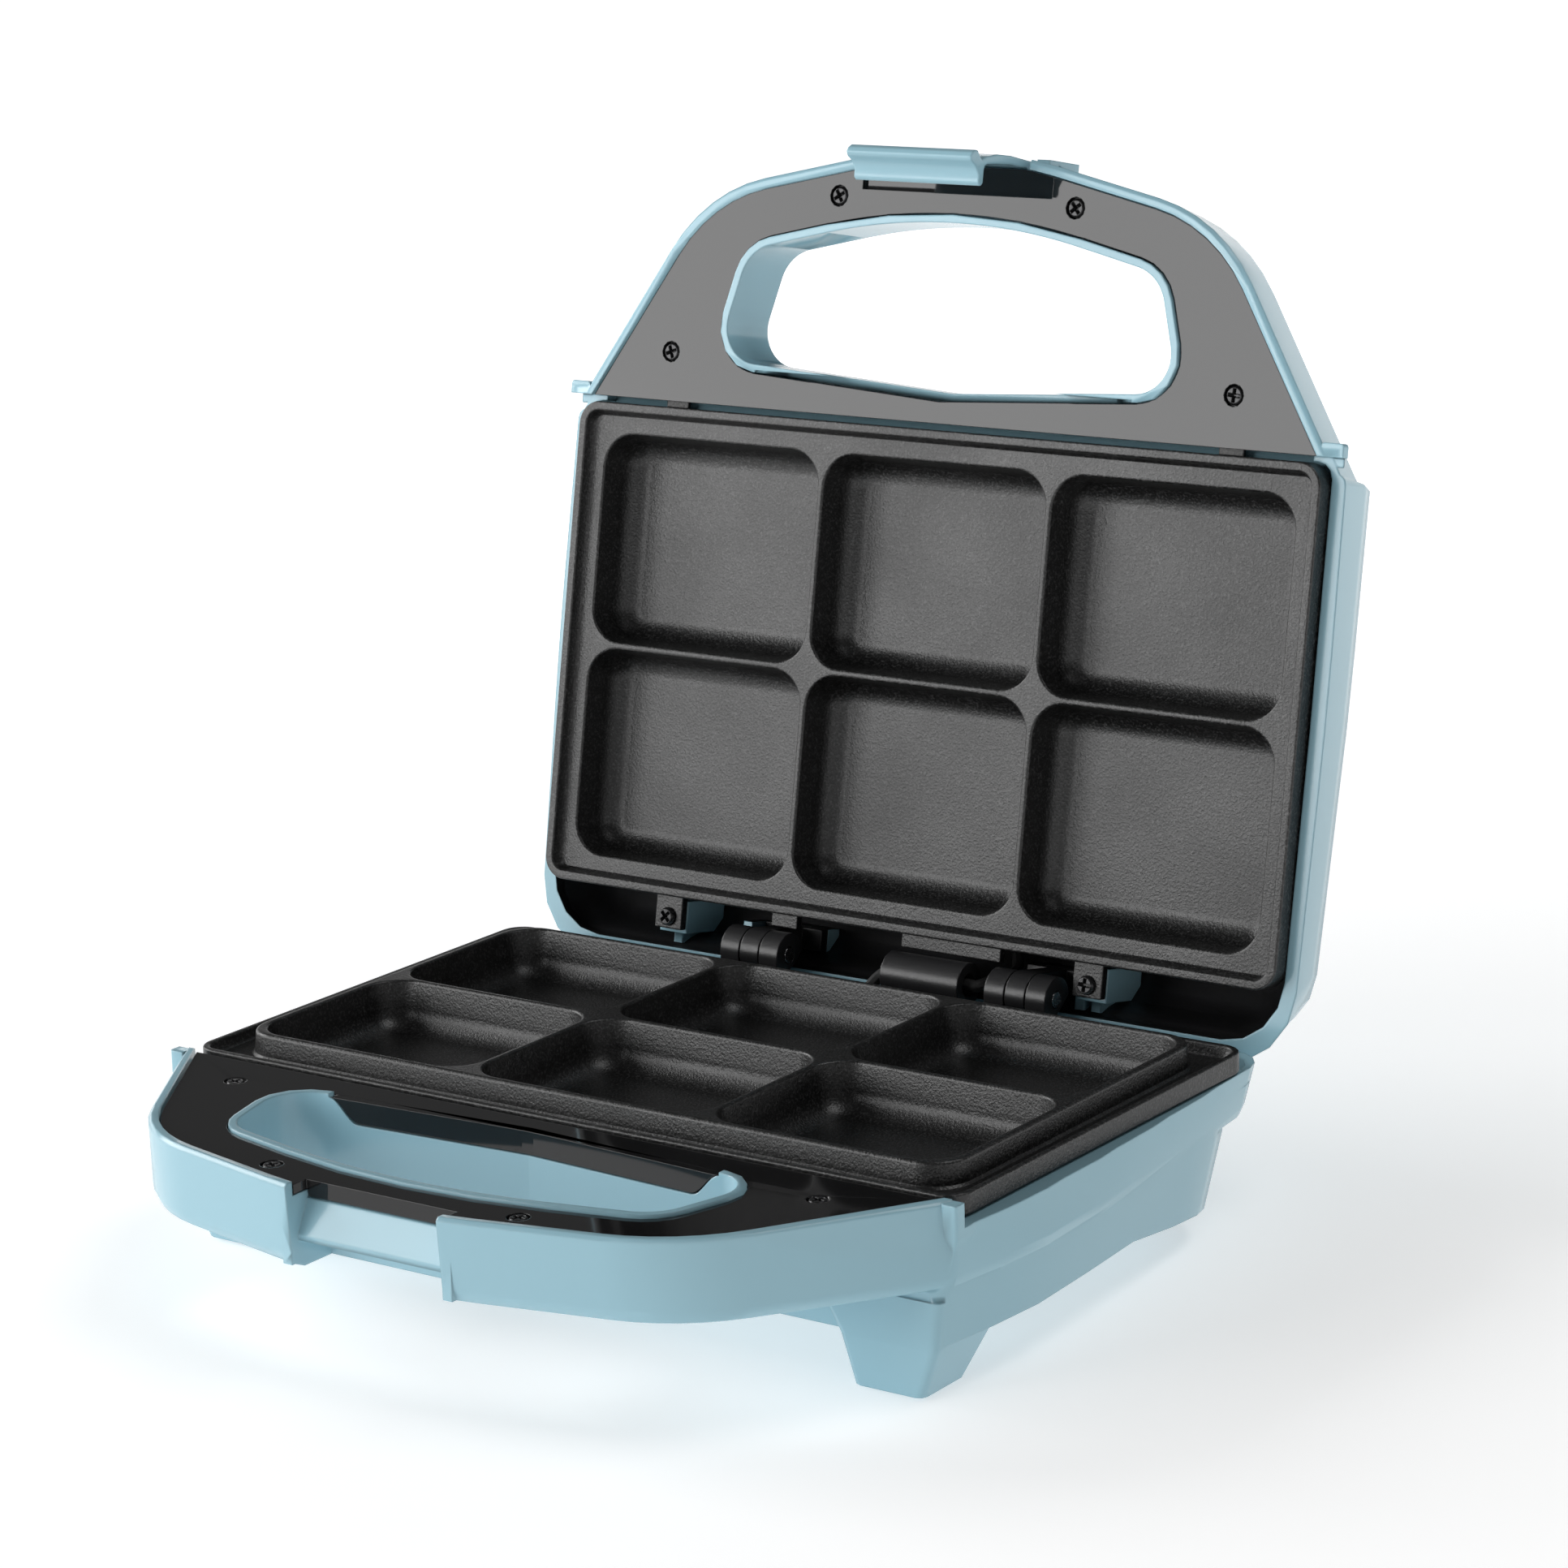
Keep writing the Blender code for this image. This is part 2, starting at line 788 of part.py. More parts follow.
def open_lid_point(y, z):
    """Where a point of the closed lid lies once the lid is open."""
    turn_cos, turn_sin = math.cos(lid_open_angle), math.sin(lid_open_angle)
    return (
        hinge_y + (y - hinge_y) * turn_cos + (z - hinge_z) * turn_sin,
        hinge_z - (y - hinge_y) * turn_sin + (z - hinge_z) * turn_cos)


lid_back_y = plate_depth + lid_back_gap
base_back_y = open_lid_point(lid_back_y, lid_side_rim_rise)[0] - stop_gap
tip_slope_share = (handle_tip_share - handle_shoulder_shares[1]) / handle_shoulder_shares[0]
front_screw_y = front_screw_inset - handle_reach * (handle_tip_share - front_screw_share * tip_slope_share)
right_screw_places = [
    (panel_half_width * side_screw_shares[0], -handle_reach * side_screw_shares[1]),
    (panel_half_width * front_screw_share, front_screw_y)]
panel_screw_places = [(side * x, y) for side in (-1, 1) for x, y in right_screw_places]
notch_half_width = latch_width / 2 + latch_side_gap


# Plates

def cavity_mesh(name, side_width, length, floor, mouth):
    """Six tapered pockets with filleted floors. Floor and mouth are heights."""
    towards = math.copysign(1, mouth - floor)
    made = bmesh.new()
    near = length / 2 + cavity_ridge / 2
    step = middle_cavity_width / 2 + cavity_ridge + side_width / 2
    for x, width in ((-step, side_width), (0.0, middle_cavity_width), (step, side_width)):
        for y in (-near, near):
            corners = [
                (x + side_x * width / 2, cavity_centre_y + y + side_y * length / 2,
                 cavity_corner_radius, arc_steps)
                for side_x, side_y in ((-1, -1), (1, -1), (1, 1), (-1, 1))]
            rings = [(corners, 0.0, mouth + towards * overrun), (corners, 0.0, mouth)]
            for turn in range(4):
                angle = math.radians(30) * turn
                inset = cavity_draft + cavity_floor_fillet * (1 - math.cos(angle))
                rise = cavity_floor_fillet * (1 - math.sin(angle))
                rings.append((corners, inset, floor + towards * rise))
            single = loft_mesh("pocket", rings)
            made.from_mesh(single)
            bpy.data.meshes.remove(single)
    return to_mesh(name, made)


def plate_outline():
    return rectangle(plate_width / 2, 0.0, plate_depth, plate_corner_radius)


def island_outline():
    return rectangle(
        plate_width / 2 - island_side_inset, island_front_inset,
        plate_depth - island_back_inset, island_corner_radius)


def add_lower_plate():
    outer, island = plate_outline(), island_outline()
    under = -trough_depth - plate_wall
    floor = island_height - cavity_depth
    rings = [
        (island, pan_taper, floor - plate_wall),
        (island, -plate_wall / 2, under),
        (outer, plate_wall, under),
        (outer, plate_wall, -lower_skirt_height),
        (outer, lip_round, -lower_skirt_height),
        (outer, 0.0, -lip_round),
        (outer, lip_round, 0.0),
        (outer, lip_width, 0.0),
        (outer, lip_width + lip_round, -trough_depth),
        (island, -lip_round, -trough_depth),
        (island, 0.0, island_height - lip_round),
        (island, lip_round, island_height)]
    plate = add_piece("lower_baking_plate", loft_mesh("lower plate", rings), base_frame, coated_metal)
    cut(plate, add_tool(
        "lower cavities",
        cavity_mesh("lower cavities", lower_side_cavity_width, lower_cavity_length, floor, island_height),
        base_frame))
    bosses = [(x, y, floor - plate_wall - plate_boss_height) for x, y in post_places]
    height = plate_boss_height + plate_wall / 2
    mesh = cylinders_mesh("bosses", bosses, plate_boss_radius, height)
    fuse(plate, add_tool("plate bosses", mesh, base_frame))
    holes = [(x, y, z - overrun) for x, y, z in bosses]
    radius = plate_screw_radius + screw_clearance
    cut(plate, add_tool(
        "plate boss holes", cylinders_mesh("boss holes", holes, radius, overrun + plate_boss_height), base_frame))


def add_upper_plate():
    outer = plate_outline()
    field = offset_corners(outer, -field_lip_width)
    pan = rectangle(
        middle_cavity_width / 2 + cavity_ridge + upper_side_cavity_width + plate_wall,
        cavity_centre_y - upper_cavity_length - cavity_ridge / 2 - plate_wall,
        cavity_centre_y + upper_cavity_length + cavity_ridge / 2 + plate_wall,
        plate_corner_radius + plate_wall)
    low = lip_gap
    roof = low + field_recess + cavity_depth
    under = low + field_recess + plate_wall
    rings = [
        (pan, pan_taper, roof + plate_wall),
        (pan, 0.0, under),
        (outer, plate_wall, under),
        (outer, plate_wall, low + upper_skirt_height),
        (outer, lip_round, low + upper_skirt_height),
        (outer, 0.0, low + lip_round),
        (outer, lip_round, low),
        (outer, field_lip_width, low),
        (field, lip_round, low + field_recess)]
    plate = add_piece("upper_baking_plate", loft_mesh("upper plate", rings), lid_frame, coated_metal)
    cut(plate, add_tool(
        "upper cavities",
        cavity_mesh(
            "upper cavities", upper_side_cavity_width, upper_cavity_length, roof, low + field_recess),
        lid_frame))
    lug_low = low + lug_lift
    lug_high = lug_low + lug_thickness
    back = plate_depth - plate_wall
    boxes = [
        ((x - lug_half_width, back, lug_low), (x + lug_half_width, plate_depth + lug_reach, lug_high))
        for x in (left_lug_x, right_lug_x)]
    for near, far in (guard_lug_x, narrow_lug_x):
        boxes.append(((near, back, lug_low), (far, plate_depth + guard_lug_reach, lug_high)))
    tab_high = low + upper_skirt_height
    tab_low = tab_high - lug_thickness / 2
    for side in (-1, 1):
        x = side * front_tab_x
        boxes.append((
            (x - front_tab_half_width, -front_tab_reach, tab_low),
            (x + front_tab_half_width, plate_wall, tab_high)))
    fuse(plate, add_tool("plate lugs", boxes_mesh("lugs", boxes), lid_frame))
    holes = [(x, lug_screw_y, lug_low - overrun) for x in (left_lug_x, right_lug_x)]
    holes += [(side * front_tab_x, front_tab_hole_y, tab_low - overrun) for side in (-1, 1)]
    cut(plate, add_tool(
        "lug holes",
        cylinders_mesh("lug holes", holes, screw_shank_radius + screw_clearance, lug_high + overrun),
        lid_frame))


# Shells

def hollow_outlines():
    """The space inside a handle: its outer outline, the sleeve and the four screw bosses."""
    channel = mirrored(handle_half() + [
        (panel_half_width - divider_front_gap, -divider_front_gap, 0.0, 0)])
    outlines = [outline_points(offset_corners(channel, -panel_ledge))]
    outlines.append(outline_points(hole_outline()))
    outlines += [circle_points(x, y, screw_boss_radius, 12) for x, y in panel_screw_places]
    return outlines


def sleeve_step_mesh(name, face, inward, gap, depths, beyond):
    """The step at the plate side of the hand hole, smaller all round by gap."""
    low = face + inward * (sleeve_step_drop - gap)
    narrow = sleeve_step_half_width - gap
    right = []
    for step in range(arc_steps + 1):
        share = step / arc_steps
        rise = share * share * (3 - 2 * share)
        right.append((narrow + sleeve_step_ramp * share, low + (face - low) * rise))
    if beyond:
        right.append((narrow + sleeve_step_ramp, face - inward * beyond))
    profile = right + [(-x, z) for x, z in reversed(right)]
    made = bmesh.new()
    ends = [[made.verts.new((x, y, z)) for x, z in profile] for y in depths]
    for place in range(len(profile)):
        after = (place + 1) % len(profile)
        made.faces.new((ends[0][place], ends[0][after], ends[1][after], ends[1][place]))
    made.faces.new(ends[0])
    made.faces.new(ends[1])
    bmesh.ops.recalc_face_normals(made, faces=made.faces)
    return to_mesh(name, made)


def handle_cuts(prefix, frame, face, inward, depth):
    """Cutters for the panel's seat, the hollow, the hand hole and the sleeve's step."""
    seat = face + inward * (panel_thickness + seat_gap)
    beyond = face - inward * (handle_rim_proud + overrun)
    floor = face + inward * depth
    shapes = [
        ("panel seat", [outline_points(offset_corners(panel_outline(), panel_gap)),
                        outline_points(hole_outline())], beyond, seat),
        ("hollow", hollow_outlines(), seat - inward * weld_distance, floor)]
    found = []
    for name, outlines, first, last in shapes:
        name = prefix + " " + name
        mesh = slab_mesh(name, outlines, min(first, last), max(first, last))
        found.append(add_tool(name, mesh, frame))
    hand = outline_points(offset_corners(hole_outline(), -sleeve_wall))
    ends = (face - inward * (handle_rim_proud + overrun), floor + inward * (shell_wall + overrun))
    name = prefix + " hand hole"
    found.append(add_tool(name, slab_mesh(name, [hand], min(ends), max(ends)), frame))
    name = prefix + " sleeve step"
    depths = (-hole_back_gap - 2 * sleeve_wall, -hole_back_gap + sleeve_wall / 2)
    mesh = sleeve_step_mesh(name, face, inward, 0.0, depths, handle_rim_proud + overrun)
    found.append(add_tool(name, mesh, frame))
    pilot = screw_length + overrun
    start = seat - inward * overrun
    places = [(x, y, min(start, start + inward * pilot)) for x, y in panel_screw_places]
    name = prefix + " pilot holes"
    mesh = cylinders_mesh(name, places, screw_shank_radius + screw_clearance, pilot, steps=12)
    found.append(add_tool(name, mesh, frame))
    return found


def leg_mesh(name, root_x, root_y, knee_x, knee_y, foot_x, foot_y):
    bottom = foot_proud - parting_height
    rings = [
        (box_corners(root_x, root_y, leg_corner_radius), 0.0, -leg_root_drop),
        (box_corners(knee_x, knee_y, leg_corner_radius), 0.0, -leg_knee_drop),
        (box_corners(foot_x, foot_y, leg_corner_radius), 0.0, bottom)]
    return loft_mesh(name, rings)


def flipped(x_range):
    return (-x_range[1], -x_range[0])


def inside(edge, insets):
    return tuple(edge - inset for inset in insets)


def leg_sets():
    """(root, knee and foot ranges) of the right front leg and the right rear leg."""
    flare = rear_leg_flare
    foot_x = inside(base_half_width, rear_leg_insets)
    foot_y = inside(base_back_y, rear_leg_back_gaps)
    rear = (
        (foot_x[0] - 2 * flare, foot_x[1] + 2 * flare), (foot_y[0] - 2 * flare, foot_y[1] + flare / 2),
        (foot_x[0] - flare, foot_x[1] + flare), (foot_y[0] - flare, foot_y[1] + flare / 4),
        foot_x, foot_y)
    front = (
        inside(base_half_width, leg_root_insets), leg_root_y, inside(base_half_width, leg_knee_insets),
        leg_knee_y, inside(base_half_width, leg_foot_insets), leg_foot_y)
    return [front, rear]


def foot_ranges():
    for _, _, _, _, x_range, y_range in leg_sets():
        for placed in (x_range, flipped(x_range)):
            yield placed, y_range


def skirt_profile(lift):
    """The space under the base's sloping lower edge, as (y, z) points, raised by lift."""
    far = 2 * plate_depth
    points = [(-far, lift - base_skirt_drop)]
    for y, share in zip(skirt_slope_y, skirt_slope_shares):
        points.append((y, lift - base_skirt_drop - share * (rear_skirt_drop - base_skirt_drop)))
    return points + [(far, lift - rear_skirt_drop), (far, -2 * parting_height), (-far, -2 * parting_height)]


def add_base_shell():
    upper = shell_outline(base_rim_side, base_back_y, base_rear_radius)
    outer = shell_outline(base_tier_side, base_back_y, base_rear_radius, tier_root_reach)
    top = handle_rim_proud - panel_drop
    rings = [
        (upper, handle_rim_proud, top),
        (upper, 0.0, top - handle_rim_proud),
        (outer, shell_draft, -base_tier_drop + shell_edge_round),
        (outer, shell_draft + shell_edge_round * 0.3, -base_tier_drop + shell_edge_round * 0.3),
        (outer, shell_draft + shell_edge_round, -base_tier_drop)]
    shell = add_piece("base_shell", loft_mesh("base shell", rings), base_frame, blue_plastic)
    rings = [
        tier_ring(tier_front_y, 0.0, -base_tier_drop + shell_edge_round + overrun),
        tier_ring(tier_front_y, 0.0, -base_tier_drop),
        tier_ring(tier_front_y, 0.0, -rear_skirt_drop - overrun)]
    fuse(shell, add_tool("lower tier", loft_mesh("lower tier", rings), base_frame))
    far = 2 * base_half_width
    edge = side_profile_mesh("skirt edge", skirt_profile(0.0), -far, far)
    cut(shell, add_tool("skirt edge", edge, base_frame))
    rings = [
        tier_ring(tier_front_y, shell_wall, -rear_skirt_drop - 2 * overrun),
        tier_ring(tier_front_y, shell_wall, -base_skirt_drop)]
    cut(shell, add_tool("skirt recess", loft_mesh("skirt recess", rings), base_frame))
    for place, ranges in enumerate(leg_sets()):
        root_x, root_y, knee_x, knee_y, foot_x, foot_y = ranges
        for side in (-1, 1):
            turned = [found if side > 0 else flipped(found) for found in (root_x, knee_x, foot_x)]
            mesh = leg_mesh("leg", turned[0], root_y, turned[1], knee_y, turned[2], foot_y)
            fuse(shell, add_tool("leg " + str(place) + " " + str(side), mesh, base_frame))
    room_floor = -base_skirt_drop + shell_wall
    wide = body_outline(
        base_tier_side, -divider_back_gap, base_back_y, tier_front_radius, base_rear_radius)
    mouth = body_outline(
        base_rim_side, -divider_back_gap, base_back_y, tier_front_radius, base_rear_radius)
    edge = mouth_outline(
        plate_width / 2 - mouth_ledge_reach, base_rim_side, base_back_y - shell_wall,
        tier_front_radius, base_rear_radius)
    ledge_low = -base_side_rim_drop - mouth_ledge_height
    rings = [
        tier_ring(-divider_back_gap, shell_wall, room_floor),
        tier_ring(-divider_back_gap, shell_wall, -base_tier_drop + shell_wall),
        (wide, shell_wall + shell_draft, -base_tier_drop + shell_edge_round + shell_wall),
        (mouth, shell_wall, ledge_low - mouth_ledge_reach),
        (edge, 0.0, ledge_low),
        (edge, 0.0, top + overrun)]
    cut(shell, add_tool("base room", loft_mesh("base room", rings), base_frame))
    tab_top = top - handle_rim_proud * 0.3
    fuse(shell, *[add_tool("base tab", corner_tab_mesh(
        "base tab", side, base_half_width, base_tab_width, tab_top, -base_tab_drop), base_frame)
        for side in (-1, 1)])
    cut(shell, *handle_cuts("base", base_frame, -panel_drop, -1, base_tier_drop - shell_wall - panel_drop))
    slot_x = panel_half_width - divider_front_gap
    cut(shell, add_tool("base divider cut", boxes_mesh("divider cut", [
        ((-slot_x, -panel_end_gap, -divider_drop), (slot_x, overrun, top))]), base_frame))
    wide = notch_half_width + shell_wall
    fuse(shell, add_tool("latch block", boxes_mesh("latch block", [
        ((-wide, -handle_reach, -base_tier_drop + shell_wall / 2),
         (wide, latch_block_depth - handle_reach, -panel_drop - panel_thickness - seat_gap))]),
        base_frame))
    lip_low = -bar_lip_drop - bar_lip_height
    bar = [
        (-2 * handle_reach, overrun), (notch_depth_y, overrun), (notch_depth_y, -notch_inner_drop),
        (bar_lip_y, -bar_lip_drop), (bar_lip_y, lip_low), (hook_pocket_y, lip_low),
        (hook_pocket_y, -parting_height), (-2 * handle_reach, -parting_height)]
    cut(shell, add_tool("latch notch", side_profile_mesh(
        "latch notch", bar, -notch_half_width, notch_half_width), base_frame))
    cut(shell, add_tool("panel notch seat", boxes_mesh("panel notch seat", [
        ((-notch_half_width, notch_depth_y - seat_gap, -notch_inner_drop + seat_gap),
         (notch_half_width, notch_depth_y + panel_thickness, overrun))]), base_frame))
    posts = [(x, y, room_floor - overrun / 2) for x, y in post_places]
    post_top = island_height - cavity_depth - plate_wall - plate_boss_height - seat_gap
    height = post_top - room_floor + overrun / 2
    fuse(shell, add_tool("plate posts", cylinders_mesh("posts", posts, post_radius, height), base_frame))
    holes = [(x, y, -parting_height) for x, y in post_places]
    radius = plate_screw_radius + screw_clearance
    cut(shell, add_tool("post holes", cylinders_mesh("holes", holes, radius, parting_height), base_frame))
    wells = [(x, y, -parting_height) for x, y in post_places]
    radius = plate_screw_head_radius + screw_clearance
    depth = parting_height - base_skirt_drop + plate_screw_head_height + screw_clearance
    cut(shell, add_tool("screw wells", cylinders_mesh("wells", wells, radius, depth), base_frame))
    slots = []
    for side in (-1, 1):
        for place in range(vent_count):
            y = plate_depth / 2 + (place - (vent_count - 1) / 2) * vent_pitch
            x = side * vent_row_x + side * vent_length / 2
            slots.append((
                (x - vent_length / 2, y - vent_width / 2, -parting_height),
                (x + vent_length / 2, y + vent_width / 2, room_floor + overrun)))
    cut(shell, add_tool("vents", boxes_mesh("vents", slots), base_frame))
    pads = []
    for x_range, y_range in foot_ranges():
        inset = foot_pad_inset - foot_pad_gap
        pads.append((
            (x_range[0] + inset, y_range[0] + inset, -parting_height - overrun),
            (x_range[1] - inset, y_range[1] - inset, foot_pad_height + foot_pad_gap - parting_height)))
    cut(shell, add_tool("pad pockets", boxes_mesh("pad pockets", pads), base_frame))
    wall_y = base_back_y - tier_back_inset
    seat = cylinders_mesh(
        "gland seat", [(gland_x, wall_y - 2 * shell_wall, -gland_drop)],
        gland_flange_radius + gland_clearance, 2 * shell_wall, "Y")
    fuse(shell, add_tool("gland seat", seat, base_frame))
    gland = (gland_x, wall_y - 2 * shell_wall, -gland_drop)
    mesh = cylinders_mesh(
        "gland hole", [gland], gland_body_radius + gland_clearance, 4 * shell_wall + tier_back_inset, "Y")
    cut(shell, add_tool("gland hole", mesh, base_frame))
    add_hinge_shelves(shell)
    rim = add_tool("base rim cut", boxes_mesh("rim cut", [
        ((-far, -panel_end_gap, -base_side_rim_drop), (far, far, top + overrun))]), base_frame)
    cut(shell, rim)


def add_hinge_shelves(shell):
    """Ledges in the base that carry the hinge blocks and the lead guard."""
    boxes = []
    low = -hinge_shelf_drop
    back = base_back_y - tier_back_inset - hinge_shelf_inset
    for x in (left_hinge_x, right_hinge_x):
        half = 1.5 * knuckle_width + knuckle_gap
        boxes.append((
            (x - half, hinge_y - knuckle_radius, low),
            (x + half, back, -hinge_block_depth - seat_gap)))
    boxes.append((
        (guard_x[0], hinge_y - knuckle_radius, low),
        (guard_x[1], back, -guard_foot_drop - seat_gap)))
    fuse(shell, add_tool("hinge shelves", boxes_mesh("hinge shelves", boxes), base_frame))


def dome_steps():
    """The lid's rounded edge and crowned top, as (inset, height) steps."""
    dome_round = lid_dome_radius
    crown = lid_crown
    steps = []
    for angle in (0, 30, 55, 78):
        turn = math.radians(angle)
        steps.append((
            lid_draft + dome_round * (1 - math.cos(turn)), lid_wall_rise + dome_round * math.sin(turn)))
    steps.append((2 * dome_round, lid_dome_rise + crown / 2))
    steps.append((3 * dome_round, lid_crown_rise))
    return steps


def dome_height(y):
    """Height of the lid's top on its middle line."""
    steps = dome_steps()
    found = steps[-1][1]
    for (near, low), (far, high) in zip(steps, steps[1:]):
        if near <= y <= far:
            found = low + (high - low) * (y - near) / (far - near)
    return found - lid_rear_fall * y / lid_back_y


def fall_to_rear(mesh):
    """Lowers the upper rings of a lid solid towards the back."""
    for vert in mesh.vertices:
        if vert.co.z > lid_handle_rise - shell_edge_round - shell_wall and vert.co.y > 0:
            vert.co.z -= lid_rear_fall * vert.co.y / lid_back_y
    return mesh


def add_lid_shell():
    back = lid_back_y - lid_back_slope
    handle = handle_outline(lid_side)
    low = lid_panel_rise - handle_rim_proud
    lean = lid_draft * (lid_handle_rise - shell_edge_round) / lid_wall_rise
    rings = [
        (handle, handle_rim_proud, low),
        (handle, 0.0, low + handle_rim_proud),
        (handle, lean, lid_handle_rise - shell_edge_round),
        (handle, lean + shell_edge_round * 0.3, lid_handle_rise - shell_edge_round * 0.3),
        (handle, lean + shell_edge_round, lid_handle_rise)]
    shell = add_piece("lid_shell", loft_mesh("lid shell", rings), lid_frame, blue_plastic)
    flat = body_outline(
        lid_side, lid_front_y, lid_back_y, lid_front_radius, shell_rear_radius + shell_edge_round)
    body = body_outline(lid_side, lid_front_y, back, lid_front_radius, shell_rear_radius + shell_edge_round)
    rings = [(flat, 0.0, low + handle_rim_proud)]
    rings += [(body, inset, z) for inset, z in dome_steps()]
    fuse(shell, add_tool("lid dome", fall_to_rear(loft_mesh("lid dome", rings)), lid_frame))
    room_radius = shell_rear_radius + shell_edge_round
    inside = body_outline(lid_side, -divider_back_gap, back, shoulder_root_radius, shell_rear_radius)
    low_deep = body_outline(lid_side, -divider_back_gap, back, shell_rear_radius, room_radius)
    deep = body_outline(lid_side, lid_front_y, back, shell_rear_radius, room_radius)
    edge = mouth_outline(
        plate_width / 2 + mouth_ledge_gap, lid_side, back - shell_wall,
        tier_front_radius, shell_rear_radius)
    ledge_high = lid_side_rim_rise + mouth_ledge_height
    rings = [
        (edge, 0.0, low - overrun),
        (edge, 0.0, ledge_high),
        (inside, shell_wall + lid_draft / 2, ledge_high + mouth_ledge_reach)]
    outlines = [low_deep] + [deep] * (len(dome_steps()) - 1)
    rings += [(found, shell_wall + inset, z - shell_wall) for found, (inset, z) in zip(outlines, dome_steps())]
    cut(shell, add_tool("lid room", fall_to_rear(loft_mesh("lid room", rings)), lid_frame))
    tab_low = low + handle_rim_proud * 0.3
    fuse(shell, *[add_tool("lid tab", corner_tab_mesh(
        "lid tab", side, lid_half_width, lid_tab_width, tab_low, lid_tab_drop), lid_frame)
        for side in (-1, 1)])
    depth = lid_handle_rise - shell_wall - lid_panel_rise
    lugs = []
    for side in (-1, 1):
        x = sorted((side * (notch_half_width - seat_gap), side * (notch_half_width + stop_lug_width)))
        lugs.append((
            (x[0], -handle_reach - handle_rim / 2, lid_panel_rise + panel_thickness + seat_gap),
            (x[1], latch_pivot_y + 2 * latch_boss_radius, lid_handle_rise - shell_wall / 2)))
    cut(shell, *handle_cuts("lid", lid_frame, lid_panel_rise, 1, depth))
    fuse(shell, add_tool("latch ears", boxes_mesh("latch ears", lugs), lid_frame))
    far = 2 * lid_half_width
    cut(shell, add_tool("lid rim cut", boxes_mesh("lid rim cut", [
        ((-far, -panel_end_gap, low - overrun), (far, far, lid_side_rim_rise))]), lid_frame))
    slot_x = panel_half_width - divider_front_gap
    cut(shell, add_tool("lid divider cut", boxes_mesh("divider cut", [
        ((-slot_x, -panel_end_gap, low), (slot_x, overrun, divider_drop))]), lid_frame))
    cut(shell, add_tool("latch opening", boxes_mesh("latch opening", [
        ((-notch_half_width, -2 * handle_reach, low - overrun),
         (notch_half_width, latch_pivot_y + latch_boss_radius + latch_pin_clearance,
          latch_pivot_z + latch_head_room))]), lid_frame))
    reach = notch_half_width + latch_pin_grip + screw_clearance
    pin = (-reach, latch_pivot_y, latch_pivot_z)
    cut(shell, add_tool("latch pin hole", cylinders_mesh(
        "pin hole", [pin], latch_pin_radius + latch_pin_clearance, 2 * reach, "X", 12), lid_frame))
    slots = []
    for side in (-1, 1):
        x = side * front_tab_x
        wide = front_tab_half_width + seat_gap
        slots.append((
            (x - wide, -front_tab_reach - seat_gap, low - overrun),
            (x + wide, plate_wall, lip_gap + upper_skirt_height + seat_gap)))
    cut(shell, add_tool("tab slots", boxes_mesh("tab slots", slots), lid_frame))
    posts = [(x, lug_screw_y, lug_top() + seat_gap) for x in (left_lug_x, right_lug_x)]
    post_boxes = []
    for x, y, z in posts:
        post_boxes.append((
            (x - lid_post_radius, y - lid_post_radius, z),
            (x + lid_post_radius, y + lid_post_radius, lid_post_top)))
        post_boxes.append((
            (x - shell_wall / 2, y, z + shell_wall), (x + shell_wall / 2, lid_rib_back, lid_rib_top)))
    fuse(shell, *[
        add_tool("lid post " + str(place), boxes_mesh("lid post", [box]), lid_frame)
        for place, box in enumerate(post_boxes)])
    fuse(shell, *hinge_ribs())
    holes = [(x, y, z - overrun) for x, y, z in posts]
    cut(shell, add_tool("lid post holes", cylinders_mesh(
        "lid post holes", holes, screw_shank_radius + screw_clearance, screw_length + overrun, steps=12),
        lid_frame))
    lights = [(side * light_x, light_y, lid_wall_rise) for side in (-1, 1)]
    cut(shell, add_tool("light holes", cylinders_mesh(
        "light holes", lights, light_radius + light_clearance, lid_crown_rise), lid_frame))


def lug_top():
    return lip_gap + lug_lift + lug_thickness


def hinge_ribs():
    """A rib of the lid shell at the outer side of each hinge, and the block its arm is fixed to."""
    found = []
    for name, x, side in (("left", left_hinge_x, -1), ("right", right_hinge_x, 1)):
        half = 1.5 * knuckle_width + knuckle_gap
        near = x + side * (half + knuckle_gap)
        ends = sorted((near, near + side * shell_wall))
        rib = (
            (ends[0], hinge_y - knuckle_radius, knuckle_radius + hinge_z + shell_wall),
            (ends[1], lid_rib_back, lid_rib_top))
        block = (
            (x - half, hinge_y - knuckle_radius, hinge_z + hinge_arm_reach + seat_gap),
            (x + half, hinge_y + 2 * knuckle_gap, lid_post_top))
        found.append(add_tool("hinge rib " + name, boxes_mesh("hinge rib", [rib]), lid_frame))
        found.append(add_tool("arm block " + name, boxes_mesh("arm block", [block]), lid_frame))
    return found


# Handle panels and their screws

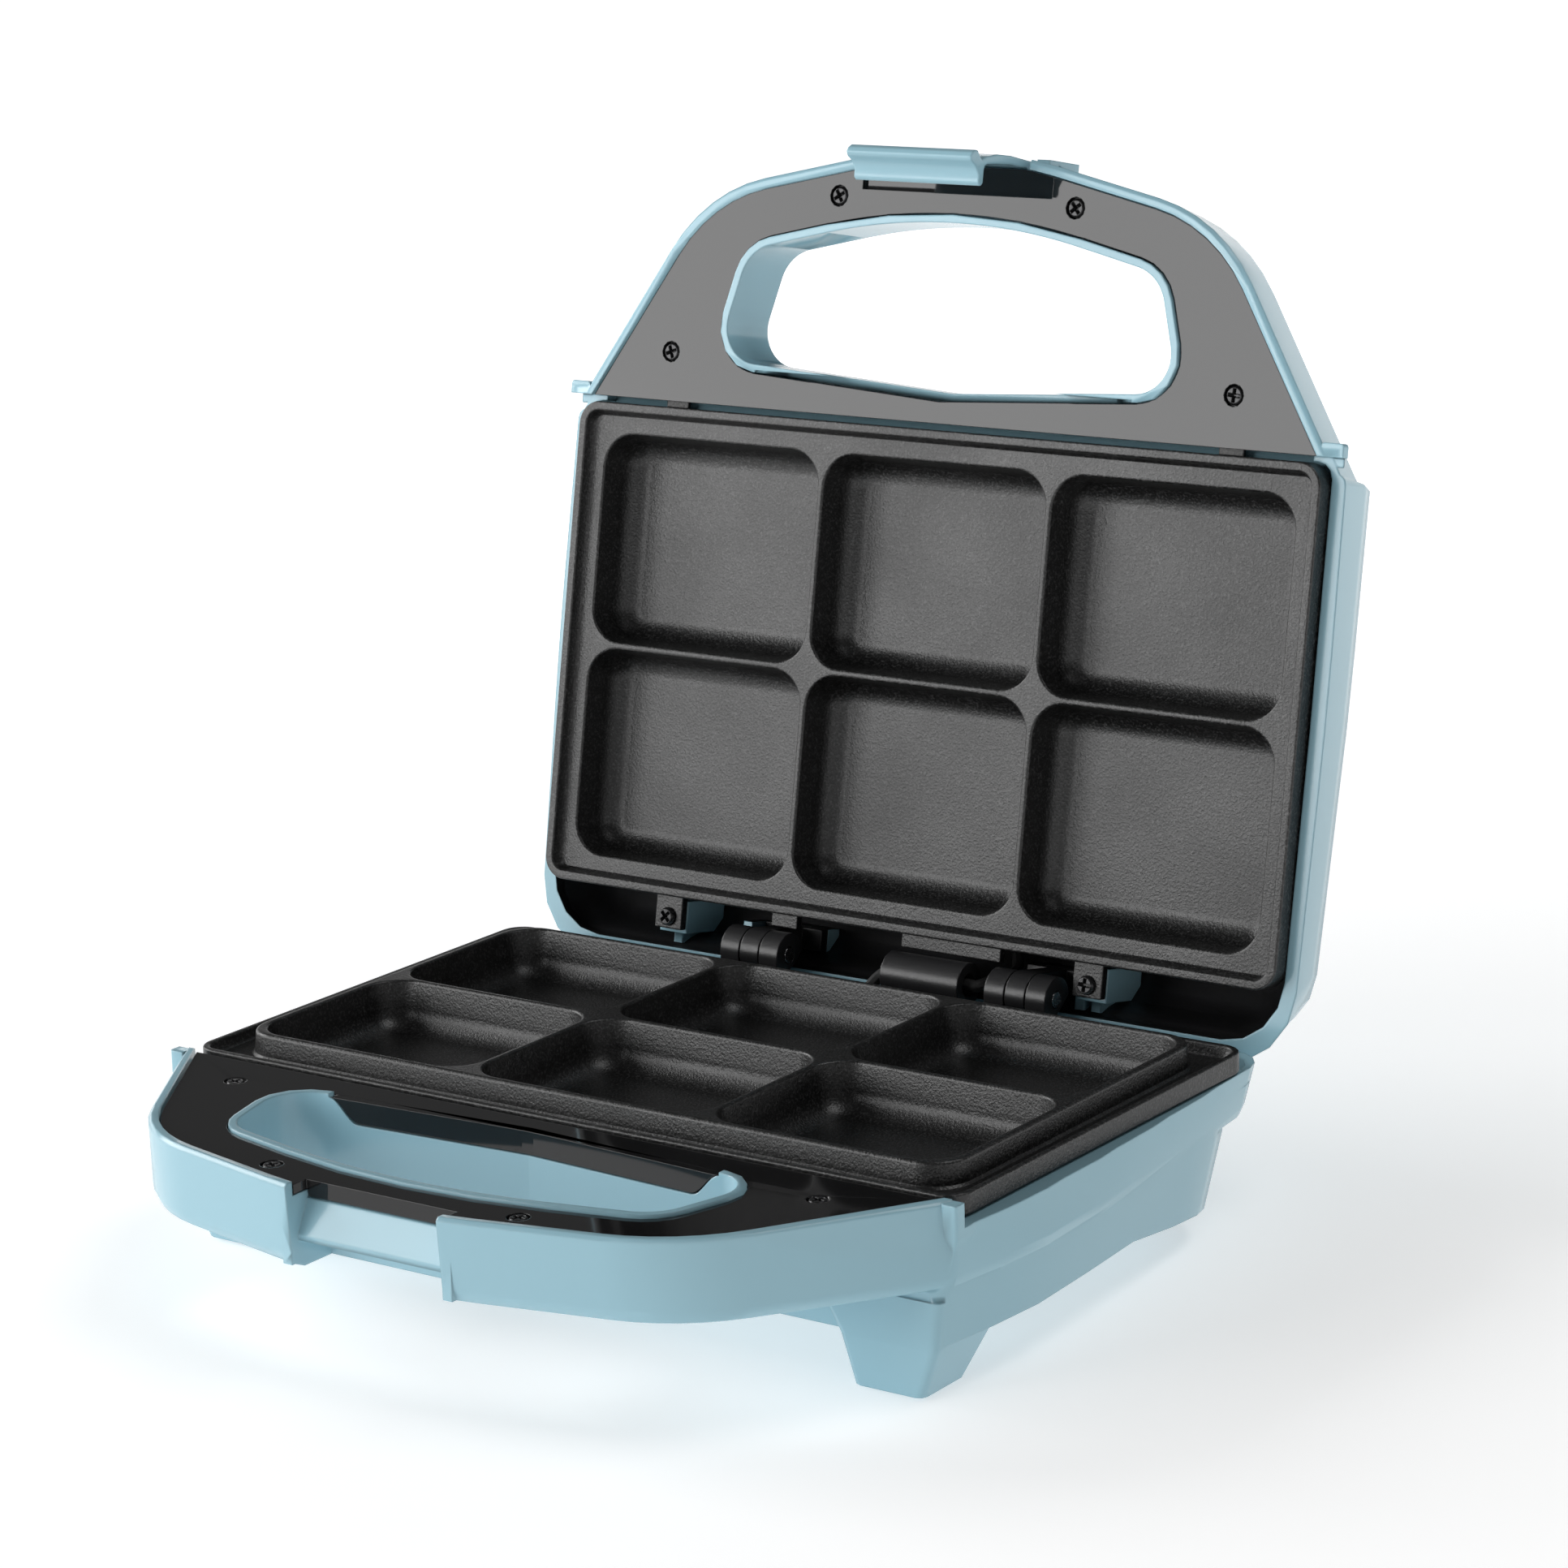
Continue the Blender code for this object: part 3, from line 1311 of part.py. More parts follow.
def add_panel(name, frame, face, inward, notched):
    outlines = [outline_points(panel_outline()), outline_points(offset_corners(hole_outline(), panel_gap))]
    ends = sorted((face, face + inward * panel_thickness))
    panel = add_piece(name, slab_mesh(name, outlines, *ends), frame, black_gloss)
    depths = (-hole_back_gap - sleeve_wall, -hole_back_gap + sleeve_wall * 0.4)
    mesh = sleeve_step_mesh("skirt", face, inward, seat_gap, depths, 0.0)
    fuse(panel, add_tool(name + " skirt", mesh, frame))
    if notched:
        depth = -2 * handle_reach
        cut(panel, add_tool(name + " notch", boxes_mesh("panel notch", [
            ((-notch_half_width, depth, -parting_height), (notch_half_width, notch_depth_y, overrun))]), frame))
        fuse(panel, add_tool(name + " notch wall", boxes_mesh("notch wall", [
            ((-notch_half_width + seat_gap, notch_depth_y, -notch_inner_drop + 2 * seat_gap),
             (notch_half_width - seat_gap, notch_depth_y + panel_thickness - seat_gap, -panel_drop))]), frame))
    else:
        depth = -2 * handle_reach
        pocket_y = lid_pocket_inset - handle_reach
        cut(panel, add_tool(name + " pocket", boxes_mesh("pocket", [
            ((-lid_pocket_half_width, depth, -overrun),
             (lid_pocket_half_width, pocket_y, face + lid_pocket_depth))]), frame))
        arm_y = latch_wall + latch_bow + seat_gap - handle_reach - latch_arm_reach
        cut(panel, add_tool(name + " latch gap", boxes_mesh("latch gap", [
            ((-notch_half_width, depth, -overrun), (notch_half_width, arm_y, parting_height))]), frame))
    through = [(x, y, min(ends) - overrun) for x, y in panel_screw_places]
    cut(panel, add_tool(name + " screw holes", cylinders_mesh(
        "screw holes", through, screw_shank_radius + screw_clearance, panel_thickness + 2 * overrun, steps=12),
        frame))
    start = face + inward * screw_recess
    low = min(start, face - inward * overrun)
    rings = [(x, y, low) for x, y in panel_screw_places]
    cut(panel, add_tool(name + " screw recesses", cylinders_mesh(
        "screw recesses", rings, screw_head_radius + screw_clearance, screw_recess + overrun), frame))
    head = face + inward * (screw_recess - seat_gap / 2)
    places = [(x, y, head) for x, y in panel_screw_places]
    mesh = screw_mesh(screw_length)
    if inward > 0:
        mesh = upside_down(mesh)
    add_copies(name.replace("handle_panel", "panel_screw"), mesh, frame, black_steel, places)


def screw_mesh(length):
    """A pan-head screw that hangs down from the plane under its head."""
    radius, rise = screw_head_radius, screw_head_height
    profile = [
        (0.0, rise), (radius * 0.55, rise * 0.95), (radius * 0.9, rise * 0.55), (radius, 0.0),
        (screw_shank_radius, 0.0), (screw_shank_radius, -length * 0.85), (0.0, -length * 0.97)]
    return turned_mesh("screw", profile, 10)


def add_plate_screws():
    head = -base_skirt_drop + plate_screw_head_height
    length = island_height - cavity_depth - plate_wall - head - screw_clearance
    profile = [
        (0.0, length), (plate_screw_radius, length - plate_screw_radius), (plate_screw_radius, 0.0),
        (plate_screw_head_radius, 0.0), (plate_screw_head_radius, -plate_screw_head_height * 0.7),
        (0.0, -plate_screw_head_height)]
    places = [(x, y, head) for x, y in post_places]
    mesh = turned_mesh("plate screw", profile, 8)
    add_copies("lower_plate_screw", mesh, base_frame, bright_steel, places)
    lug_low = lip_gap + lug_lift - seat_gap / 2
    places = [(x, lug_screw_y, lug_low) for x in (left_lug_x, right_lug_x)]
    mesh = upside_down(screw_mesh(screw_length))
    add_copies("upper_plate_screw", mesh, lid_frame, black_steel, places)


# Hinges

def knuckle_profile(steps=10):
    """Points of a half turn over the hinge axis, as (y, z)."""
    turns = [math.pi * step / steps for step in range(steps + 1)]
    return [
        (hinge_y + knuckle_radius * math.cos(turn), hinge_z + knuckle_radius * math.sin(turn))
        for turn in turns]


def add_hinge(name, x):
    half = knuckle_width / 2
    back = base_back_y - tier_back_inset - shell_wall - seat_gap + shell_draft
    ear = knuckle_profile() + [
        (hinge_y - knuckle_radius, -hinge_block_depth), (back, -hinge_block_depth), (back, -base_side_rim_drop)]
    first, second = x - half - knuckle_gap - knuckle_width, x + half + knuckle_gap
    block = add_piece(
        "hinge_block_" + name, side_profile_mesh("ear", ear, first, first + knuckle_width),
        base_frame, black_plastic)
    fuse(block, add_tool("second ear " + name, side_profile_mesh(
        "second ear", ear, second, second + knuckle_width), base_frame))
    web = (
        (first, hinge_y - knuckle_radius, -hinge_block_depth),
        (second + knuckle_width, back, -hinge_block_depth + knuckle_radius))
    fuse(block, add_tool("hinge web " + name, boxes_mesh("hinge web", [web]), base_frame))
    reach = 1.5 * knuckle_width + knuckle_gap
    bore = [(x - reach - overrun, hinge_y, hinge_z)]
    radius = hinge_pin_radius + hinge_pin_clearance
    cut(block, add_tool("hinge bore " + name, cylinders_mesh(
        "hinge bore", bore, radius, 2 * (reach + overrun), "X"), base_frame))
    turns = [math.pi + math.pi * step / 10 for step in range(11)]
    arm = [
        (hinge_y + knuckle_radius * math.cos(turn), hinge_z + knuckle_radius * math.sin(turn)) for turn in turns]
    top = hinge_z + hinge_arm_reach
    front = hinge_y - knuckle_radius
    arm += [(front + hinge_arm_thickness, knuckle_radius), (front + hinge_arm_thickness, top), (front, top)]
    lever = add_piece(
        "hinge_arm_" + name, side_profile_mesh("arm", arm, x - half, x + half), lid_frame, black_plastic)
    cut(lever, add_tool("arm bore " + name, cylinders_mesh(
        "arm bore", bore, radius, 2 * (reach + overrun), "X"), lid_frame))
    wide = reach
    flange = (
        (x - wide, front, top - shell_wall), (x + wide, front + hinge_arm_thickness, top))
    fuse(lever, add_tool("arm flange " + name, boxes_mesh("arm flange", [flange]), lid_frame))
    pin = cylinders_mesh("pin", [(x - reach, hinge_y, hinge_z)], hinge_pin_radius, 2 * reach, "X")
    add_piece("hinge_pin_" + name, pin, base_frame, bright_steel)


# Latch

def add_latch():
    outer = -handle_reach - latch_arm_reach
    inner = outer + latch_wall
    hook_y = latch_hook_inset - handle_reach
    hook_high = -bar_lip_drop - bar_lip_height - latch_hook_gap
    hook_low = hook_high - latch_hook_thickness
    pivot_y, pivot_z = latch_pivot_y, latch_pivot_z
    boss_top = pivot_z + latch_boss_radius
    turns = [math.radians(angle) for angle in (120, 75, 30, -15, -60)]
    boss = [
        (pivot_y + latch_boss_radius * math.cos(turn), pivot_z + latch_boss_radius * math.sin(turn))
        for turn in turns]
    edge = latch_wall * 0.35
    neck = outer + latch_neck_inset + edge
    foot = -latch_foot_drop
    profile = [
        (outer + edge, boss_top - 2 * edge), (outer + latch_bow, latch_pivot_z / 2),
        (outer, -latch_wall), (outer + latch_bow / 2, -4 * latch_wall),
        (neck - edge, -latch_neck_drop + 2 * edge), (neck, -latch_neck_drop),
        (neck - edge / 2, -latch_neck_drop - edge), (outer, -latch_flare_drop + edge / 2),
        (outer, -latch_flare_drop - edge), (outer + edge, foot + edge), (outer + 2.5 * edge, foot),
        (outer + 4 * edge, foot + edge), (outer + 5.5 * edge, foot + 4 * edge),
        (outer + 8 * edge, hook_low), (hook_y - edge, hook_low), (hook_y, hook_low + edge),
        (hook_y, hook_high - edge), (hook_y - edge, hook_high),
        (inner + 3.2 * edge, hook_high), (inner + 1.8 * edge, hook_high + edge / 2),
        (inner + 1.1 * edge, hook_high + 2 * edge), (inner + latch_bow, -4 * latch_wall),
        (inner, -latch_wall), (inner + latch_bow / 2, lid_panel_rise + panel_thickness + seat_gap)]
    profile += list(reversed(boss))
    profile = [
        (y - latch_pivot_y, z - latch_pivot_z) for y, z in profile]
    half = latch_width / 2
    latch = add_piece(
        "latch", side_profile_mesh("latch", profile, -half, half), latch_frame, blue_plastic)
    bore = cylinders_mesh(
        "latch bore", [(-half - overrun, 0, 0)], latch_pin_radius + latch_pin_clearance,
        latch_width + 2 * overrun, "X", 12)
    cut(latch, add_tool("latch bore", bore, latch_frame))
    reach = notch_half_width + latch_pin_grip
    pin = cylinders_mesh(
        "latch pin", [(-reach, latch_pivot_y, latch_pivot_z)], latch_pin_radius, 2 * reach, "X", 12)
    add_piece("latch_pin", pin, lid_frame, bright_steel)


# Heating parts

def element_path(z):
    """One bent tube that follows the plate's edge, from one end to the other."""
    loop = mirrored([
        (element_half_width, element_front_y, element_corner_radius, arc_steps),
        (element_half_width, element_back_y, element_corner_radius, arc_steps)])
    points = outline_points(loop)
    start = max(range(len(points)), key=lambda place: (round(points[place][1], 6), points[place][0]))
    ordered = points[start:] + points[:start]
    right = ordered[0]
    ordered = ordered[1:] + [right]
    ends = [(-element_end_x, element_back_y), (element_end_x, element_back_y)]
    left_first = [ends[0]] + ordered + [ends[1]]
    return [(x, y, z) for x, y in left_first]


def add_element(name, frame, plate_back, away):
    z = plate_back + away * (element_gap + element_radius)
    element = add_piece(name, tube_mesh(name, element_path(z), element_radius), frame, sheath_metal)
    made = bmesh.new()
    for side in (-1, 1):
        start = side * element_end_x - (element_pin_length if side > 0 else element_radius)
        length = element_pin_length + element_radius
        add_cylinder(made, (start, element_back_y, z), element_pin_radius, length, "X", 8)
    fuse(element, add_tool(name + " pins", to_mesh(name + " pins", made), frame))
    hat = element_radius + element_gap
    far = plate_back + away * (element_gap + 2 * hat)
    profile = clamp_profile(plate_back + away * element_gap, far, away)
    clamp_name = name.replace("heating_element", "element_clamp")
    add_piece(clamp_name + "_front", clamp_mesh(profile, "Y"), frame, bright_steel, (0, element_front_y, 0))
    mesh = clamp_mesh(profile, "X")
    places = [(side * element_half_width, cavity_centre_y, 0) for side in (-1, 1)]
    add_copies(clamp_name + "_side", mesh, frame, bright_steel, places)


def clamp_profile(foot_z, top_z, away):
    """A strap that steps over the tube: (distance across, z) points."""
    hat = element_radius + element_gap
    wall = clamp_thickness
    foot = hat + wall + clamp_foot
    outside = [
        (-foot, foot_z + away * wall), (-hat - wall, foot_z + away * wall), (-hat - wall, top_z + away * wall)]
    outside += [(-x, z) for x, z in reversed(outside)]
    inside = [(foot, foot_z), (hat, foot_z), (hat, top_z), (-hat, top_z), (-hat, foot_z), (-foot, foot_z)]
    return outside + inside


def clamp_mesh(profile, across):
    made = bmesh.new()
    half = clamp_width / 2
    ends = []
    for shift in (-half, half):
        if across == "X":
            ends.append([made.verts.new((step, shift, z)) for step, z in profile])
        else:
            ends.append([made.verts.new((shift, step, z)) for step, z in profile])
    for place in range(len(profile)):
        after = (place + 1) % len(profile)
        made.faces.new((ends[0][place], ends[0][after], ends[1][after], ends[1][place]))
    made.faces.new(ends[0])
    made.faces.new(ends[1])
    bmesh.ops.recalc_face_normals(made, faces=made.faces)
    return to_mesh("clamp", made)


def shield_rings(rim, bed, away, bevel, side_inset, front):
    """An open tray: up its outside and down its inside."""
    inset, drop = bevel
    outline = rectangle(
        plate_width / 2 - side_inset + shield_thickness, front, shield_back_y,
        shield_corner_radius)
    thick = shield_thickness
    return [
        (outline, inset + pan_taper, bed + away * thick),
        (outline, inset, bed + away * thick),
        (outline, 0.0, bed - away * drop),
        (outline, 0.0, rim),
        (outline, thick, rim),
        (outline, thick, bed - away * drop),
        (outline, thick + inset, bed),
        (outline, thick + inset + pan_taper, bed)]


def add_shield(name, frame, plate_back, away, rim, *shape):
    bed = plate_back + away * (2 * element_radius + element_gap + clamp_thickness + shield_gap_to_element)
    shield = add_piece(name, loft_mesh(name, shield_rings(rim, bed, away, *shape)), frame, tin_sheet)
    return shield, bed


def add_heating():
    lower_back = island_height - cavity_depth - plate_wall
    add_element("lower_heating_element", base_frame, lower_back, -1)
    shield, bed = add_shield(
        "lower_heat_shield", base_frame, lower_back, -1, -lower_shield_rim_drop, lower_shield_bevel,
        lower_shield_inset, lower_shield_front)
    holes = [(x, y, bed - overrun) for x, y in post_places]
    cut(shield, add_tool("shield holes", cylinders_mesh(
        "shield holes", holes, post_radius + shield_hole_clearance, 2 * overrun), base_frame))
    upper_back = lip_gap + field_recess + cavity_depth + plate_wall
    add_element("upper_heating_element", lid_frame, upper_back, 1)
    shield, bed = add_shield(
        "upper_heat_shield", lid_frame, upper_back, 1, upper_shield_rim_rise, upper_shield_bevel,
        upper_shield_inset, upper_shield_front)
    add_thermostat(upper_back)
    add_fuse(upper_back)
    add_lights()


def add_thermostat(plate_back):
    z = plate_back + seat_gap
    profile = [
        (0.0, thermostat_height), (thermostat_radius * 0.8, thermostat_height),
        (thermostat_radius, thermostat_height * 0.85), (thermostat_radius, thermostat_height * 0.25),
        (thermostat_radius + thermostat_flange, thermostat_height * 0.25),
        (thermostat_radius + thermostat_flange, 0.0), (0.0, 0.0)]
    body = add_piece(
        "thermostat", turned_mesh("thermostat", profile), lid_frame, ceramic,
        location=(thermostat_x, cavity_centre_y, z))
    made = bmesh.new()
    for side in (-1, 1):
        low = Vector((side * thermostat_radius * 0.5, -clamp_width / 4, thermostat_height - shield_thickness))
        low.x -= shield_thickness / 2
        high = low + Vector((shield_thickness, clamp_width / 2, 2 * shield_thickness))
        add_box(made, low, high)
    tabs = add_tool("thermostat tabs", to_mesh("tabs", made), lid_frame, (thermostat_x, cavity_centre_y, z))
    fuse(body, tabs)


def add_fuse(plate_back):
    z = plate_back + seat_gap + fuse_radius
    made = bmesh.new()
    add_cylinder(made, (-fuse_length / 2, 0, 0), fuse_radius, fuse_length, "X", 12)
    add_piece("thermal_fuse", to_mesh("fuse", made), lid_frame, ceramic, location=(fuse_x, cavity_centre_y, z))


def add_lights():
    for name, side, material in (("power_light_lens", -1, red_lens), ("ready_light_lens", 1, green_lens)):
        profile = [
            (0.0, light_proud), (light_radius * 0.7, light_proud * 0.7), (light_radius, 0.0),
            (light_radius, -light_length), (0.0, -light_length)]
        add_piece(
            name, turned_mesh(name, profile), lid_frame, material,
            location=(side * light_x, light_y, dome_height(light_y)))


# Wiring

def smooth_path(points, steps=5):
    """Points along a Catmull-Rom curve through the given ones."""
    points = [Vector(point) for point in points]
    points = [2 * points[0] - points[1]] + points + [2 * points[-1] - points[-2]]
    found = []
    for place in range(1, len(points) - 2):
        before, first, second, after = points[place - 1:place + 3]
        for step in range(steps):
            t = step / steps
            found.append(
                0.5 * (2 * first + (second - before) * t
                       + (2 * before - 5 * first + 4 * second - after) * t ** 2
                       + (3 * first - before - 3 * second + after) * t ** 3))
    found.append(points[-2])
    return found


def add_wiring():
    length = guard_x[1] - guard_x[0]
    guard = cylinders_mesh("guard", [(guard_x[0], hinge_y, hinge_z)], guard_radius, length, "X")
    guard = add_piece("lead_guard", guard, base_frame, black_plastic)
    back = base_back_y - tier_back_inset - shell_wall - seat_gap + shell_draft
    foot = (
        (guard_x[0], hinge_y - guard_radius, -guard_foot_drop), (guard_x[1], back, hinge_z - guard_bore))
    fuse(guard, add_tool("guard foot", boxes_mesh("guard foot", [foot]), base_frame))
    cut(guard, add_tool("guard bore", cylinders_mesh(
        "guard bore", [(guard_x[0] - overrun, hinge_y, hinge_z)], guard_bore, length + 2 * overrun, "X"),
        base_frame))
    middle = (guard_x[0] + guard_x[1]) / 2
    bend = 4 * lead_radius
    block_top = -terminal_drop
    block_x = terminal_x
    path = [
        (middle - seat_gap, hinge_y, hinge_z), (guard_x[0], hinge_y, hinge_z),
        (guard_x[0] - bend / 2, hinge_y - lead_radius, hinge_z - lead_radius),
        (guard_x[0] - bend, hinge_y - bend, hinge_z - bend),
        (block_x, terminal_y, block_top + bend), (block_x, terminal_y, block_top + bend / 2),
        (block_x, terminal_y, block_top + seat_gap)]
    mesh = tube_mesh("base lead", smooth_path(path, 4), lead_radius)
    add_piece("base_lead", mesh, base_frame, black_rubber)
    rise = lip_gap + field_recess + cavity_depth + plate_wall
    path = [
        (middle + seat_gap, hinge_y, hinge_z), (guard_x[1], hinge_y, hinge_z),
        (guard_x[1] + bend / 3, hinge_y, hinge_z + lead_radius / 2),
        (guard_x[1] + bend / 2, hinge_y - lead_radius, hinge_z + bend),
        (guard_x[1] + bend / 2, hinge_y - 2 * lead_radius, rise),
        (guard_x[1], shield_back_y + 2 * lead_radius, rise + bend / 2)]
    add_piece("lid_lead", tube_mesh("lid lead", smooth_path(path, 4), lead_radius), lid_frame, black_rubber)
    width, depth, height = terminal_size
    low = (terminal_x - width / 2, terminal_y - depth / 2, block_top - height)
    high = (terminal_x + width / 2, terminal_y + depth / 2, block_top)
    block = add_piece("terminal_block", boxes_mesh("block", [(low, high)]), base_frame, white_plastic)
    wells = [
        (terminal_x + place * width / 3, terminal_y, block_top - terminal_well_depth) for place in (-1, 0, 1)]
    cut(block, add_tool("terminal wells", cylinders_mesh(
        "wells", wells, terminal_well_radius, terminal_well_depth + overrun, steps=12), base_frame))


def add_gland():
    wall = base_back_y - tier_back_inset
    made = bmesh.new()
    add_cylinder(made, (0, 0, 0), gland_body_radius, gland_body_length + shell_wall, "Y")
    gland = add_piece(
        "cord_gland", to_mesh("gland", made), base_frame, black_rubber,
        location=(gland_x, wall - shell_wall - gland_flange_length, -gland_drop))
    made = bmesh.new()
    start = shell_wall + gland_flange_length + seat_gap
    add_cylinder(
        made, (0, start, 0), gland_flange_radius, gland_flange_length, "Y", end_radius=gland_body_radius)
    fuse(gland, add_tool("gland flange", to_mesh("flange", made), base_frame, gland.location))
    made = bmesh.new()
    add_cylinder(made, (0, -overrun, 0), gland_bore_radius, gland_body_length + 4 * shell_wall, "Y")
    cut(gland, add_tool("gland bore", to_mesh("gland bore", made), base_frame, gland.location))


def add_feet():
    names = ("front_right", "front_left", "rear_right", "rear_left")
    for name, (x_range, y_range) in zip(names, foot_ranges()):
        box = (
            (x_range[0] + foot_pad_inset, y_range[0] + foot_pad_inset, -parting_height),
            (x_range[1] - foot_pad_inset, y_range[1] - foot_pad_inset, foot_pad_height - parting_height))
        add_piece("foot_pad_" + name, boxes_mesh("foot", [box]), base_frame, black_rubber)


def stand_on_origin(root):
    """Moves the whole object so that its box stands centred on the origin."""
    bpy.context.view_layer.update()
    graph = bpy.context.evaluated_depsgraph_get()
    places = []
    for piece in parts.objects:
        if piece.type == "MESH":
            found = piece.evaluated_get(graph)
            places += [found.matrix_world @ vert.co for vert in found.data.vertices]
    low = Vector([min(place[axis] for place in places) for axis in range(3)])
    high = Vector([max(place[axis] for place in places) for axis in range(3)])
    root.location.x -= (low.x + high.x) / 2
    root.location.y -= (low.y + high.y) / 2
    root.location.z -= low.z
    bpy.context.view_layer.update()
    print("size", [round(value, 5) for value in high - low], "shift", [round(v, 5) for v in root.location])


clear_scene()
parts = new_collection("cake_maker")
tools = new_collection("cutters")
blue_plastic = new_material("blue gloss plastic", (0.38, 0.63, 0.73), 0.28)
black_gloss = new_material("black gloss plastic", (0.012, 0.012, 0.013), 0.08)
black_plastic = new_material("black plastic", (0.02, 0.02, 0.022), 0.45)
coated_metal = new_material("coated cast metal", (0.065, 0.065, 0.066), 0.5, 0.3)
black_steel = new_material("black steel", (0.02, 0.02, 0.02), 0.35, 0.7)
bright_steel = new_material("bright steel", (0.6, 0.6, 0.6), 0.3, 1.0)
sheath_metal = new_material("element sheath", (0.25, 0.25, 0.24), 0.45, 1.0)
tin_sheet = new_material("tinned sheet", (0.45, 0.45, 0.46), 0.4, 1.0)
ceramic = new_material("ceramic", (0.75, 0.72, 0.65), 0.6)
black_rubber = new_material("black rubber", (0.015, 0.015, 0.015), 0.7)
white_plastic = new_material("white plastic", (0.7, 0.7, 0.68), 0.5)
red_lens = new_material("red lens", (0.6, 0.02, 0.02), 0.1)
green_lens = new_material("green lens", (0.05, 0.5, 0.1), 0.1)
root_frame = new_frame("cake_maker_frame", None, (0, 0, parting_height))
base_frame = new_frame("base_frame", root_frame, (0, 0, 0))
lid_hinge = new_frame("lid_hinge", root_frame, (0, hinge_y, hinge_z))
lid_frame = new_frame("lid_frame", lid_hinge, (0, -hinge_y, -hinge_z))
latch_frame = new_frame("latch_frame", lid_frame, (0, latch_pivot_y, latch_pivot_z))
post_places = [(side * post_x, y) for side in (-1, 1) for y in post_y]

add_base_shell()
add_lid_shell()
add_lower_plate()
add_upper_plate()
add_panel("base_handle_panel", base_frame, -panel_drop, -1, True)
add_panel("lid_handle_panel", lid_frame, lid_panel_rise, 1, False)
add_plate_screws()
add_hinge("left", left_hinge_x)
add_hinge("right", right_hinge_x)
add_latch()
add_heating()
add_wiring()
add_gland()
add_feet()
lid_hinge.rotation_euler.x = -lid_open_angle
stand_on_origin(root_frame)
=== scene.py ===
# %% [markdown]
# # An electric cake maker, opened on white paper
# The real one is a hinged pair of moulded shells with two cast, coated baking plates. Its solids
# come from the CAD model and set every size. This script dresses them: finishes, softened edges,
# finely rounded plates and cross-head screws. Every length is in metres.

# %% Load the frame
import json
import math

import bmesh
import bpy
from mathutils import Matrix, Vector


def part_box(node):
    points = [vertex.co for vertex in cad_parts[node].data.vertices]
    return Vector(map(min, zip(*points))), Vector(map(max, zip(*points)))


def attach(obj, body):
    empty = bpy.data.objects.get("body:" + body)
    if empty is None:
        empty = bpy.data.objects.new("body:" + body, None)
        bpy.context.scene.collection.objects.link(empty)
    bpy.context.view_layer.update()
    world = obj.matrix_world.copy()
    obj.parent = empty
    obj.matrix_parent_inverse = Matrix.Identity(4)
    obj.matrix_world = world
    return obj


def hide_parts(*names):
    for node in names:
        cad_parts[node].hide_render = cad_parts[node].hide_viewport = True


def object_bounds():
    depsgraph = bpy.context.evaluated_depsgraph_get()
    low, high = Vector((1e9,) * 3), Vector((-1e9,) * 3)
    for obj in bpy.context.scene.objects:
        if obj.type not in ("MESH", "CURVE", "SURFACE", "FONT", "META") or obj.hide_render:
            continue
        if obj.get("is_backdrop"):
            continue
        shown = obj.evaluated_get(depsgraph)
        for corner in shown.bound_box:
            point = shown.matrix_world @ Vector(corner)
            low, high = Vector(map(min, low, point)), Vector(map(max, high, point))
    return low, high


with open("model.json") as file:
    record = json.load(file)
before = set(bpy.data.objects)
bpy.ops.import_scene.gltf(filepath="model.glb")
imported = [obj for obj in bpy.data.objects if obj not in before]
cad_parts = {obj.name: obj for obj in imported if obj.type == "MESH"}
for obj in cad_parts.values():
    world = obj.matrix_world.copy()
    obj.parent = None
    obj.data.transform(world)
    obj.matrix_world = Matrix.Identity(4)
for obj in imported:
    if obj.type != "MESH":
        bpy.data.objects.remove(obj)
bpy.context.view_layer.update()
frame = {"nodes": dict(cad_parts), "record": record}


# %% Two helpers that every piece needs
def put(name, data):
    """A new object that shows this mesh, camera or lamp."""
    held = bpy.data.objects.new(name, data)
    bpy.context.scene.collection.objects.link(held)
    return held


def mesh_of(name, made):
    """The mesh that was being built, finished."""
    mesh = bpy.data.meshes.new(name)
    made.to_mesh(mesh)
    made.free()
    return mesh


# %% [markdown]
# The camera stands in front, to the right and a little above, with a long lens. It could be placed
# by eye, but here its place and its three axes were solved from points of the two plates, whose
# real sizes are known, so that each edge falls where it should.

# %% Camera
camera_place = Vector((0.621035, -0.840309, 0.367183))
camera_right = Vector((0.81814395, 0.57438661, -0.02684215))
camera_up = Vector((-0.11591574, 0.21047068, 0.97070368))
camera_back = Vector((0.56320868, -0.79106392, 0.23877576))

camera = put("camera", bpy.data.cameras.new("camera"))
axes = Matrix((camera_right, camera_up, camera_back)).transposed()
camera.matrix_world = Matrix.Translation(camera_place) @ axes.to_4x4()
camera.data.sensor_fit = "AUTO"
camera.data.sensor_width = 36.0
camera.data.lens = 104.953
camera.data.clip_start = 0.05
camera.data.clip_end = 30.0
bpy.context.scene.camera = camera
bpy.context.scene.view_settings.view_transform = "Standard"

# %% [markdown]
# A finish is never one flat colour. Moulded plastic has a faint cloudiness and a very slight
# waviness in its gloss, and a sprayed coating is a field of tiny grains. One helper lays these out
# as nodes: noise in Object coordinates moves the colour, the roughness and the surface, each by its
# own amount. Anything that is the same all over sits on the shader's own socket.

# %% A helper that starts a finish
def start_finish(name, metallic=0.0, coat=0.0, specular=0.5):
    material = bpy.data.materials.new(name)
    material.use_nodes = True
    shader = material.node_tree.nodes["Principled BSDF"]
    shader.inputs["Metallic"].default_value = metallic
    shader.inputs["Coat Weight"].default_value = coat
    shader.inputs["Coat Roughness"].default_value = 0.06
    shader.inputs["Specular IOR Level"].default_value = specular
    return material, shader


